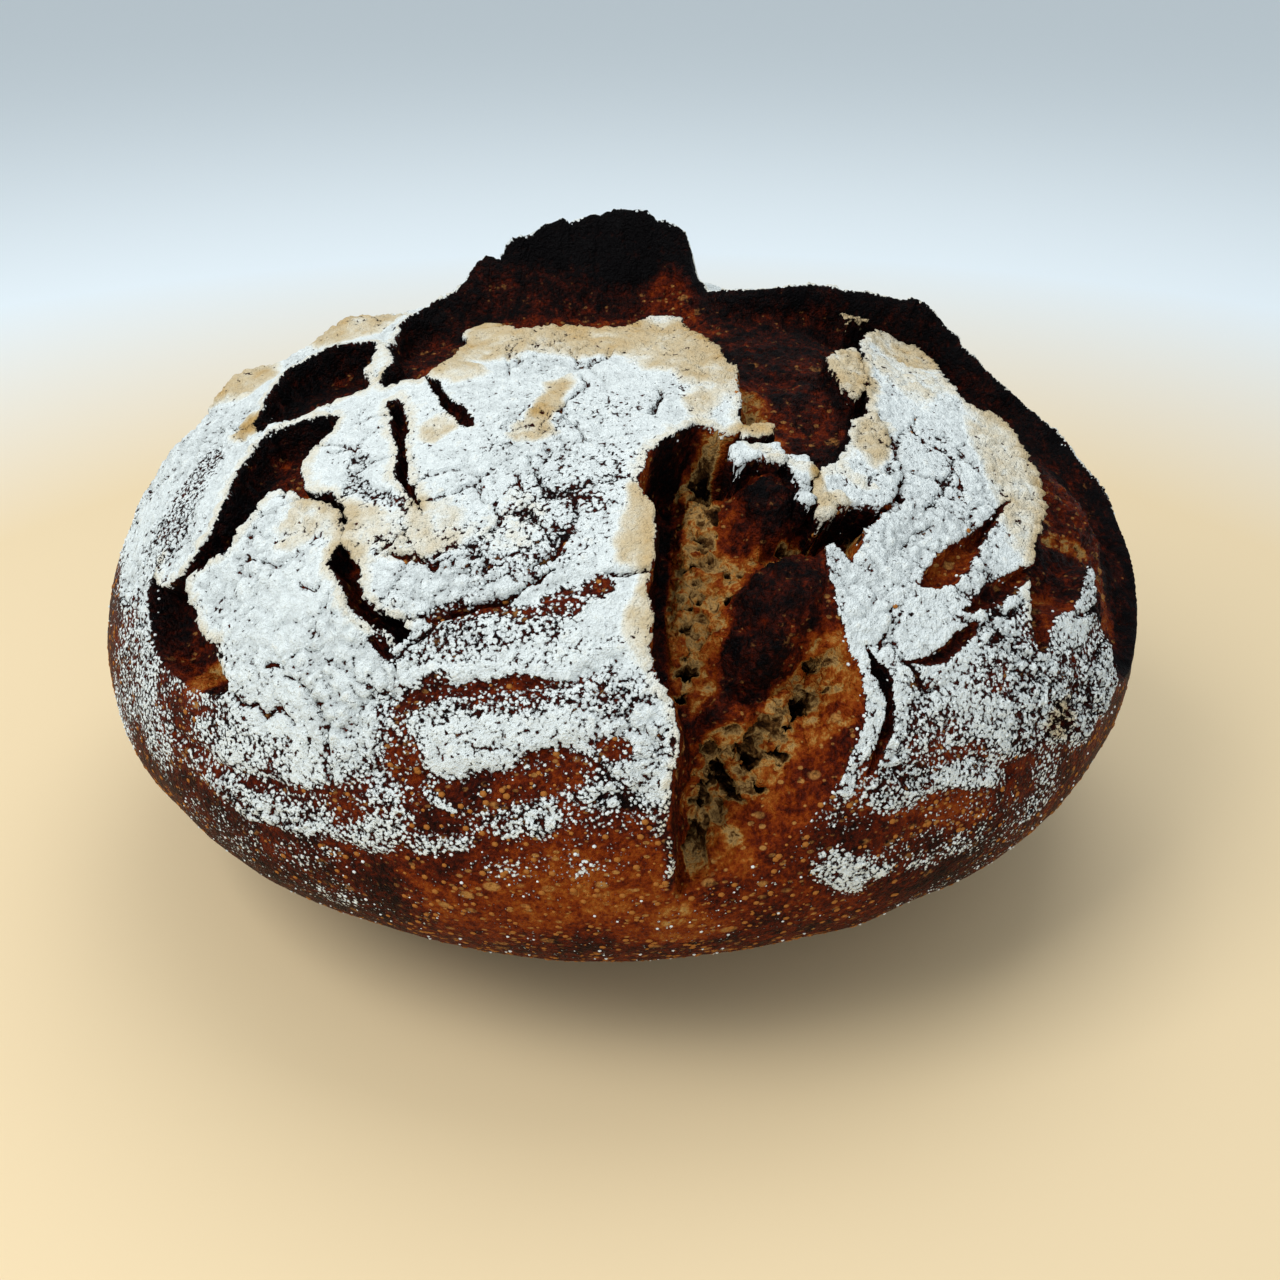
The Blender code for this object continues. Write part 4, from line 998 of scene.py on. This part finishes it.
def make_stretch(name, step, under, outline, shift):
    """A stretch of crust as a closed shell: a fine top and a plain underside."""
    step = step * COARSER
    fine = 3
    block = step * fine
    low = np.min(outline, axis=0) - STRETCH_MARGIN - block
    high = np.max(outline, axis=0) + STRETCH_MARGIN + block
    size = np.ceil((high - low) / block).astype(int)
    i, k = np.meshgrid(np.arange(size[0]), np.arange(size[1]), indexing="ij")
    centres = low + block * (np.stack([i, k], axis=-1) + 0.5)
    keep = kept_blocks(centres, outline)
    rows = np.argwhere(keep)

    span = size[1] * fine + 1                      # grid corners along b
    quads = []
    for di in range(fine):
        for dk in range(fine):
            corner = (rows[:, 0] * fine + di) * span + rows[:, 1] * fine + dk
            quads.append(np.stack([corner, corner + span, corner + span + 1, corner + 1], axis=1))
    quads = np.concatenate(quads)
    used, top_faces = np.unique(quads, return_inverse=True)
    top_faces = top_faces.reshape(quads.shape)
    top_chart = low + step * np.stack([used // span, used % span], axis=1)

    base = (rows[:, 0] * fine) * span + rows[:, 1] * fine
    ends = (0, fine * span, fine * span + fine, fine)
    lower = np.stack([base + ends[0], base + ends[3], base + ends[2], base + ends[1]], axis=1)
    under_used, under_faces = np.unique(lower, return_inverse=True)
    under_faces = under_faces.reshape(lower.shape) + len(used)
    under_chart = low + step * np.stack([under_used // span, under_used % span], axis=1)

    place = {corner: index for index, corner in enumerate(used.tolist())}
    under_place = {corner: index + len(used) for index, corner in enumerate(under_used.tolist())}
    padded = np.pad(keep, 1)
    walls = []
    sides = [((-1, 0), (0, fine), 1), ((1, 0), (fine * span, fine * span + fine), 1),
             ((0, -1), (0, fine * span), span), ((0, 1), (fine, fine * span + fine), span)]
    for (di, dk), (start, end), stride in sides:
        open_side = ~padded[rows[:, 0] + 1 + di, rows[:, 1] + 1 + dk]
        for corner in (rows[open_side, 0] * fine * span + rows[open_side, 1] * fine).tolist():
            line = [place[corner + start + stride * n] for n in range(fine + 1)]
            wall = line + [under_place[corner + end], under_place[corner + start]]
            walls.append(wall if (di, dk) in ((-1, 0), (0, 1)) else wall[::-1])

    direction = direction_at(top_chart)
    points, finish = crust(direction, top_chart, top_faces)
    dive = smooth_step(-stretch_depth(top_chart, outline) / STRETCH_MARGIN)
    points -= (DIVE * dive)[:, None] * plain_normal(plain_loaf(direction))
    under_direction = direction_at(under_chart)
    plain = plain_loaf(under_direction)
    under_points = plain - under * plain_normal(plain)
    all_points = np.concatenate([points, under_points])
    finish = {key: np.concatenate([values, np.full(len(under_points), HIDDEN[key])])
              for key, values in finish.items()}
    both = np.concatenate([top_chart, under_chart])
    flat_map = (both - low) / (high - low).max()
    flat_map[len(top_chart):] *= 0.002
    faces = top_faces.tolist() + under_faces.tolist() + walls
    return mesh_object(name, settle(all_points, shift), faces, finish, flat_map)


def solid_shift():
    """How far the millimetre loaf moves to lie where the solid does."""
    direction, faces = ball_directions(64)
    points, _ = crust(direction, chart_at(direction), faces)
    middle = (points.min(axis=0) + points.max(axis=0)) / 2.0
    low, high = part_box("loaf")
    return np.array([(low.x + high.x) / (2.0 * MM) - middle[0],
                     (low.y + high.y) / (2.0 * MM) - middle[1], 0.0])


# ---------------------------------------------------------------------------------------
# Grains and blisters strewn over the crust
# ---------------------------------------------------------------------------------------
# Each kind: most per square centimetre, smallest and largest size, flatness and seed
FLOUR_CRUMBS = ("flour_crumbs", 36.0, 0.30, 0.85, 0.75, 7)
CRUST_BLISTERS = ("crust_blisters", 10.0, 0.45, 1.50, 0.30, 8)


def strewing_tree(flatness, seed, skin):
    """Nodes that strew flattened balls over a mesh as thickly as its "strewn" attribute asks."""
    tree = bpy.data.node_groups.new("strewn", "GeometryNodeTree")
    for name, kind in (("Geometry", "Geometry"), ("Most", "Float"), ("Smallest", "Float"),
                       ("Largest", "Float")):
        tree.interface.new_socket(name, in_out="INPUT", socket_type="NodeSocket" + kind)
    tree.interface.new_socket("Geometry", in_out="OUTPUT", socket_type="NodeSocketGeometry")
    given = tree.nodes.new("NodeGroupInput")
    result = tree.nodes.new("NodeGroupOutput")
    thickness = new_node(tree, "GeometryNodeInputNamedAttribute", data_type="FLOAT", Name="strewn")
    density = combine(tree, "MULTIPLY", thickness.outputs["Attribute"], given.outputs["Most"])
    spread = new_node(tree, "GeometryNodeDistributePointsOnFaces", Seed=seed)
    tree.links.new(given.outputs["Geometry"], spread.inputs["Mesh"])
    tree.links.new(density, spread.inputs["Density"])
    ball = new_node(tree, "GeometryNodeMeshIcoSphere", Radius=0.5, Subdivisions=1)
    squash = new_node(tree, "GeometryNodeTransform", Scale=(1.0, 0.85, flatness))
    tree.links.new(ball.outputs["Mesh"], squash.inputs["Geometry"])
    size = new_node(tree, "FunctionNodeRandomValue", data_type="FLOAT", Seed=seed + 1)
    tree.links.new(given.outputs["Smallest"], size.inputs[2])
    tree.links.new(given.outputs["Largest"], size.inputs[3])
    place = tree.nodes.new("GeometryNodeInstanceOnPoints")
    tree.links.new(spread.outputs["Points"], place.inputs["Points"])
    tree.links.new(squash.outputs["Geometry"], place.inputs["Instance"])
    tree.links.new(spread.outputs["Rotation"], place.inputs["Rotation"])
    tree.links.new(size.outputs[1], place.inputs["Scale"])
    real = tree.nodes.new("GeometryNodeRealizeInstances")
    tree.links.new(place.outputs["Instances"], real.inputs["Geometry"])
    painted = new_node(tree, "GeometryNodeSetMaterial", Material=skin)
    tree.links.new(real.outputs["Geometry"], painted.inputs["Geometry"])
    tree.links.new(painted.outputs["Geometry"], result.inputs["Geometry"])
    return tree


def strew(kind, bed, strewn, skin):
    """Strew one kind over a bed mesh, as a plain mesh of its own."""
    name, most, smallest, largest, flatness, seed = kind
    bed.data.attributes.new("strewn", "FLOAT", "POINT").data.foreach_set("value", strewn)
    holder = bpy.data.objects.new(name, bed.data)
    bpy.context.scene.collection.objects.link(holder)
    tree = strewing_tree(flatness, seed, skin)
    strewing = holder.modifiers.new("strewn", "NODES")
    strewing.node_group = tree
    values = {"Most": most / (10.0 * MM) ** 2, "Smallest": smallest * MM, "Largest": largest * MM}
    for item in tree.interface.items_tree:
        if item.in_out == "INPUT" and item.name in values:
            strewing[item.identifier] = values[item.name]
    view = bpy.context.evaluated_depsgraph_get()
    view.update()
    mesh = bpy.data.meshes.new_from_object(holder.evaluated_get(view))
    bpy.data.objects.remove(holder, do_unlink=True)
    bed.data.attributes.remove(bed.data.attributes["strewn"])
    mesh.name = name
    mesh.materials.clear()
    mesh.materials.append(skin)
    mesh.polygons.foreach_set("material_index", np.zeros(len(mesh.polygons), int))
    mesh.shade_smooth()
    piece = bpy.data.objects.new(name, mesh)
    bpy.context.scene.collection.objects.link(piece)
    return piece


def plain_finish(name, colour, roughness):
    """A plain matte material of one colour."""
    material = bpy.data.materials.new(name)
    material.use_nodes = True
    shader = material.node_tree.nodes["Principled BSDF"]
    shader.inputs["Base Color"].default_value = (*colour, 1.0)
    shader.inputs["Roughness"].default_value = roughness
    shader.inputs["Specular IOR Level"].default_value = DULL
    return material


def make_bed(shift):
    """The crust's skin again, only to strew things on, with how floured and baked it is."""
    direction, faces = ball_directions(int(BED_SQUARES / COARSER))
    chart = chart_at(direction)
    seen = plain_loaf(direction)[:, 2] > 3.0 - MIDDLE_HEIGHT
    kept = faces[seen[faces].all(axis=1)]
    points, finish = crust(direction, chart, faces)
    return mesh_object("bed", settle(points, shift), kept.tolist(), finish,
                       chart / (2.0 * FARTHEST) + 0.5), finish


def make_strewn(shift):
    """Crumbs of flour where it lies unevenly, and blisters on the caramel skin."""
    bed, finish = make_bed(shift)
    flour, bake = finish["flour"], finish["bake"]
    white = 1.0 - smooth_step((finish["toast"] - 0.10) / 0.25)
    lumpy = smooth_step((flour - 0.10) / 0.4) * (1.0 - smooth_step((flour - 0.85) / 0.30))
    dusted = 0.07 * smooth_step((flour + 0.65) / 0.3) * (1.0 - smooth_step((flour - 0.85) / 0.30))
    bare = smooth_step((flour + 0.85) / 0.1) * (1.0 - smooth_step((flour - 0.05) / 0.3))
    caramel = smooth_step((bake - 0.36) / 0.06) * (1.0 - smooth_step((bake - 0.66) / 0.12))
    pieces = [strew(FLOUR_CRUMBS, bed, white * np.maximum(lumpy, dusted),
                    plain_finish("loose_flour", (0.70, 0.75, 0.75), 0.95)),
              strew(CRUST_BLISTERS, bed, bare * caramel,
                    plain_finish("golden_blister", (0.33, 0.125, 0.026), 0.6))]
    bpy.data.objects.remove(bed, do_unlink=True)
    return pieces


# ---------------------------------------------------------------------------------------
# Materials
# ---------------------------------------------------------------------------------------
def new_node(tree, kind, **settings):
    """A shader node with plain settings and socket values."""
    node = tree.nodes.new(kind)
    for key, value in settings.items():
        if key in node.inputs:
            node.inputs[key].default_value = value
        else:
            setattr(node, key, value)
    return node


def combine(tree, how, one, two, clamp=False):
    """A Math node on two sockets or numbers."""
    node = tree.nodes.new("ShaderNodeMath")
    node.operation = how
    node.use_clamp = clamp
    for socket, value in zip(node.inputs, (one, two)):
        if isinstance(value, (int, float)):
            socket.default_value = value
        else:
            tree.links.new(value, socket)
    return node.outputs[0]


def add_parts(tree, total, *parts):
    """A socket or number plus each (socket, strength) part in turn."""
    for part, strength in parts:
        total = combine(tree, "ADD", total, combine(tree, "MULTIPLY", part, strength))
    return total


def ramp_up(tree, value, start, slope):
    """From 0 where a value passes the start up to 1 beyond it."""
    return combine(tree, "MULTIPLY", combine(tree, "SUBTRACT", value, start), slope, clamp=True)


def ramp_down(tree, value, end, slope):
    """From 1 down to 0 where a value reaches the end."""
    return combine(tree, "MULTIPLY", combine(tree, "SUBTRACT", end, value), slope, clamp=True)


def speckle(tree, place, size_mm, detail, swirl=0.0):
    """Noise of a given grain, centred on 0 and swirled into strands if asked."""
    node = new_node(tree, "ShaderNodeTexNoise", Scale=1.0 / (size_mm * MM), Detail=detail,
                    Roughness=0.6, Distortion=swirl)
    tree.links.new(place, node.inputs["Vector"])
    return combine(tree, "SUBTRACT", node.outputs["Fac"], 0.5)


def colour_ramp(tree, value, stops):
    """A Color Ramp through (position, colour) stops."""
    node = tree.nodes.new("ShaderNodeValToRGB")
    ramp = node.color_ramp
    while len(ramp.elements) < len(stops):
        ramp.elements.new(1.0)
    for element, (position, colour) in zip(ramp.elements, stops):
        element.position = position
        element.color = (*colour, 1.0)
    tree.links.new(value, node.inputs[0])
    return node.outputs["Color"]


def blend_colours(tree, factor, one, two):
    """A colour Mix node."""
    node = tree.nodes.new("ShaderNodeMix")
    node.data_type = "RGBA"
    tree.links.new(factor, node.inputs["Factor"])
    tree.links.new(one, node.inputs["A"])
    tree.links.new(two, node.inputs["B"])
    return node.outputs["Result"]


# Colours along the bake scale; from about 0 down to -1 the crumb darkens to black, painted shade for
# its pits and holes
BAKED = [
    (-1.00, (0.003, 0.001, 0.001)),
    (-0.70, (0.024, 0.009, 0.002)),
    (-0.40, (0.105, 0.046, 0.012)),
    (-0.08, (0.370, 0.225, 0.080)),
    (0.12, (0.370, 0.175, 0.040)),
    (0.30, (0.260, 0.066, 0.007)),
    (0.46, (0.175, 0.026, 0.002)),
    (0.60, (0.085, 0.009, 0.0015)),
    (0.74, (0.028, 0.0035, 0.0015)),
    (0.87, (0.007, 0.0015, 0.001)),
    (1.00, (0.001, 0.0007, 0.001)),
]
# Flour colours by toast; below 0 the flour turns grey, painted shade for its creases and cracks
FLOURED = [
    (-0.6, (0.47, 0.51, 0.51)),
    (0.0, (0.735, 0.795, 0.795)),
    (0.5, (0.68, 0.65, 0.54)),
    (1.0, (0.56, 0.47, 0.31)),
    (2.0, (0.48, 0.32, 0.13)),
]
BLISTER_GOLD = (0.42, 0.21, 0.055)
BARE_ROUGHNESS = 0.52
FLOURED_ROUGHNESS = 0.95
DULL = 0.04                  # hardly any gloss


def scattered(tree, place, size_mm):
    """Scattered points: the distance to the nearest, in cells, and a random number for it."""
    node = new_node(tree, "ShaderNodeTexVoronoi", Scale=1.0 / (size_mm * MM), Randomness=1.0)
    tree.links.new(place, node.inputs["Vector"])
    split = tree.nodes.new("ShaderNodeSeparateColor")
    tree.links.new(node.outputs["Color"], split.inputs[0])
    return node.outputs["Distance"], split.outputs[0]


def dots(tree, place, size_mm, share, radius):
    """Round dots of uneven size on a share of the cells: 1 on a dot."""
    distance, chance = scattered(tree, place, size_mm)
    lucky = combine(tree, "DIVIDE", combine(tree, "SUBTRACT", share, chance), share)
    reach = combine(tree, "MULTIPLY", combine(tree, "ADD", lucky, 0.5), radius / 1.5)
    inside = combine(tree, "SUBTRACT", reach, distance)
    kept = combine(tree, "MULTIPLY", lucky, 50.0, clamp=True)
    return combine(tree, "MULTIPLY", combine(tree, "MULTIPLY", inside, 8.0, clamp=True), kept)


def crust_material():
    """Browned crust, torn skin and crumb under a layer of flour, by the piece's attributes."""
    material = bpy.data.materials.new("floured_crust")
    material.use_nodes = True
    tree = material.node_tree
    shader = tree.nodes["Principled BSDF"]
    place = tree.nodes.new("ShaderNodeTexCoord").outputs["Object"]
    read = {key: new_node(tree, "ShaderNodeAttribute", attribute_name=key).outputs["Fac"]
            for key in ("flour", "toast", "bake")}
    dusty = speckle(tree, place, 0.75, 2.0)
    middling = speckle(tree, place, 2.2, 2.0)
    broad = speckle(tree, place, 9.0, 2.0)
    pores = speckle(tree, place, 0.42, 1.0)
    strands = speckle(tree, place, 2.6, 3.0, swirl=1.6)

    frayed = combine(tree, "MULTIPLY", strands, ramp_down(tree, read["bake"], 0.42, 4.0))
    darkness = add_parts(tree, read["bake"], (middling, 0.60), (dusty, 0.60), (frayed, 1.9),
                         (broad, 0.30))
    on_ramp = combine(tree, "MULTIPLY", combine(tree, "ADD", darkness, 1.0), 0.5, clamp=True)
    crust_colour = colour_ramp(tree, on_ramp,
                               [((bake + 1.0) / 2.0, colour) for bake, colour in BAKED])
    squashed = new_node(tree, "ShaderNodeMapping")
    squashed.inputs["Scale"].default_value = (0.75, 1.0, 1.25)
    tree.links.new(place, squashed.inputs["Vector"])
    small_dots = dots(tree, squashed.outputs["Vector"], 1.25, 0.42, 0.48)
    large_dots = dots(tree, squashed.outputs["Vector"], 3.4, 0.34, 0.40)
    blistered = combine(tree, "MAXIMUM", small_dots, large_dots)
    on_skin = combine(tree, "MULTIPLY", ramp_down(tree, darkness, 0.82, 3.0),
                      ramp_up(tree, darkness, 0.30, 9.0))
    blistered = combine(tree, "MULTIPLY", blistered, on_skin)
    blistered = combine(tree, "MULTIPLY", blistered, 0.78)
    gold = new_node(tree, "ShaderNodeRGB")
    gold.outputs[0].default_value = (*BLISTER_GOLD, 1.0)
    crust_colour = blend_colours(tree, blistered, crust_colour, gold.outputs[0])

    toasted = add_parts(tree, read["toast"], (middling, 0.7), (dusty, 0.5))
    palest, darkest = FLOURED[0][0], FLOURED[-1][0]
    span = darkest - palest
    toasted = combine(tree, "DIVIDE", combine(tree, "SUBTRACT", toasted, palest), span, clamp=True)
    flour_colour = colour_ramp(tree, toasted,
                               [((toast - palest) / span, colour) for toast, colour in FLOURED])
    grains, _ = scattered(tree, place, 0.80)
    thick = add_parts(tree, read["flour"], (dusty, 2.0), (middling, 1.0), (pores, 0.9),
                      (grains, -1.5))
    cover = ramp_up(tree, thick, -0.38, 3.2)
    tree.links.new(blend_colours(tree, cover, crust_colour, flour_colour),
                   shader.inputs["Base Color"])

    rough = add_parts(tree, BARE_ROUGHNESS, (cover, FLOURED_ROUGHNESS - BARE_ROUGHNESS))
    tree.links.new(rough, shader.inputs["Roughness"])
    shader.inputs["Specular IOR Level"].default_value = DULL
    relief = add_parts(tree, 0.0, (cover, 0.45), (dusty, 1.5), (middling, 0.9), (pores, 0.6),
                       (blistered, 0.4))
    bump = new_node(tree, "ShaderNodeBump", Strength=0.85, Distance=0.0007)
    tree.links.new(relief, bump.inputs["Height"])
    tree.links.new(bump.outputs["Normal"], shader.inputs["Normal"])
    return material


def floor_material():
    """A pale warm floor that turns cooler away from the loaf."""
    material = bpy.data.materials.new("pale_floor")
    material.use_nodes = True
    tree = material.node_tree
    place = new_node(tree, "ShaderNodeTexCoord").outputs["Object"]
    scaled = new_node(tree, "ShaderNodeMapping")
    scaled.inputs["Scale"].default_value = (1.6, 1.6, 1.6)
    tree.links.new(place, scaled.inputs["Vector"])
    rings = new_node(tree, "ShaderNodeTexGradient", gradient_type="SPHERICAL")
    tree.links.new(scaled.outputs["Vector"], rings.inputs["Vector"])
    colour = colour_ramp(tree, rings.outputs["Fac"],
                         [(0.15, (0.86, 0.95, 1.0)), (0.60, (0.78, 0.62, 0.38))])
    tree.links.new(colour, tree.nodes["Principled BSDF"].inputs["Base Color"])
    tree.nodes["Principled BSDF"].inputs["Roughness"].default_value = 0.6
    return material


# ---------------------------------------------------------------------------------------
# The studio
# ---------------------------------------------------------------------------------------
VIEW_ELEVATION = radians(28.0)
VIEW_DISTANCE = 325.0        # from the eye to the loaf's middle, before it was centred
VIEW_LENS = 38.6
AIM_RIGHT = 4.3              # the view is aimed this far right of the loaf's middle and
AIM_DOWN = 9.0               # this far below it


def make_camera(shift):
    """A camera in front of the loaf, looking down on it."""
    middle = Vector(shift * MM) + Vector((0.0, 0.0, MIDDLE_HEIGHT * MM))
    back = Vector((0.0, -cos(VIEW_ELEVATION), sin(VIEW_ELEVATION)))
    up = Vector((0.0, sin(VIEW_ELEVATION), cos(VIEW_ELEVATION)))
    eye = middle + back * VIEW_DISTANCE * MM
    aim = middle + Vector((AIM_RIGHT * MM, 0.0, 0.0)) - up * AIM_DOWN * MM
    data = bpy.data.cameras.new("camera")
    data.lens = VIEW_LENS
    data.clip_start = 0.01
    camera = bpy.data.objects.new("camera", data)
    camera.location = eye
    camera.rotation_euler = (aim - eye).to_track_quat("-Z", "Y").to_euler()
    bpy.context.scene.collection.objects.link(camera)
    bpy.context.scene.camera = camera


def soft_box(name, place, size, energy, colour):
    """A square lamp that faces the loaf."""
    data = bpy.data.lights.new(name, "AREA")
    data.shape = "SQUARE"
    data.size = size
    data.energy = energy
    data.color = colour
    lamp = bpy.data.objects.new(name, data)
    lamp.location = place
    aim = Vector((0.0, 0.0, MIDDLE_HEIGHT * MM))
    lamp.rotation_euler = (aim - lamp.location).to_track_quat("-Z", "Y").to_euler()
    bpy.context.scene.collection.objects.link(lamp)


def make_studio():
    """A pale floor, soft lamps and an even sky."""
    bpy.ops.mesh.primitive_plane_add(size=6.0)
    floor = bpy.context.active_object
    floor.name = "floor"
    floor.data.materials.append(floor_material())
    soft_box("key_lamp", Vector((-0.45, -0.30, 0.72)), 0.45, 4.1, (1.0, 0.99, 0.97))
    soft_box("top_lamp", Vector((0.10, 0.25, 0.85)), 0.60, 2.4, (0.98, 0.99, 1.0))
    soft_box("front_lamp", Vector((0.15, -0.95, 0.30)), 0.60, 1.5, (1.0, 0.99, 0.97))
    sky = bpy.data.worlds.new("even_sky")
    sky.use_nodes = True
    backdrop = sky.node_tree.nodes["Background"]
    backdrop.inputs["Color"].default_value = (0.90, 0.96, 1.0, 1.0)
    backdrop.inputs["Strength"].default_value = 0.58
    bpy.context.scene.world = sky
    bpy.context.scene.view_settings.view_transform = "Standard"


# ---------------------------------------------------------------------------------------
def main():
    shift = solid_shift()
    skin = crust_material()
    body = make_body(shift, int(BODY_SQUARES / COARSER))
    pieces = [body]
    for name, step, under, _, outline in STRETCHES:
        pieces.append(make_stretch(name, step, under, outline, shift))
    for piece in pieces:
        piece.data.materials.append(skin)
    pieces += make_strewn(shift)
    for piece in pieces:
        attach(piece, "root")
    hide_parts("loaf")
    make_camera(shift)
    make_studio()
    print("triangles", {p.name: sum(len(f.vertices) - 2 for f in p.data.polygons) for p in pieces})


main()
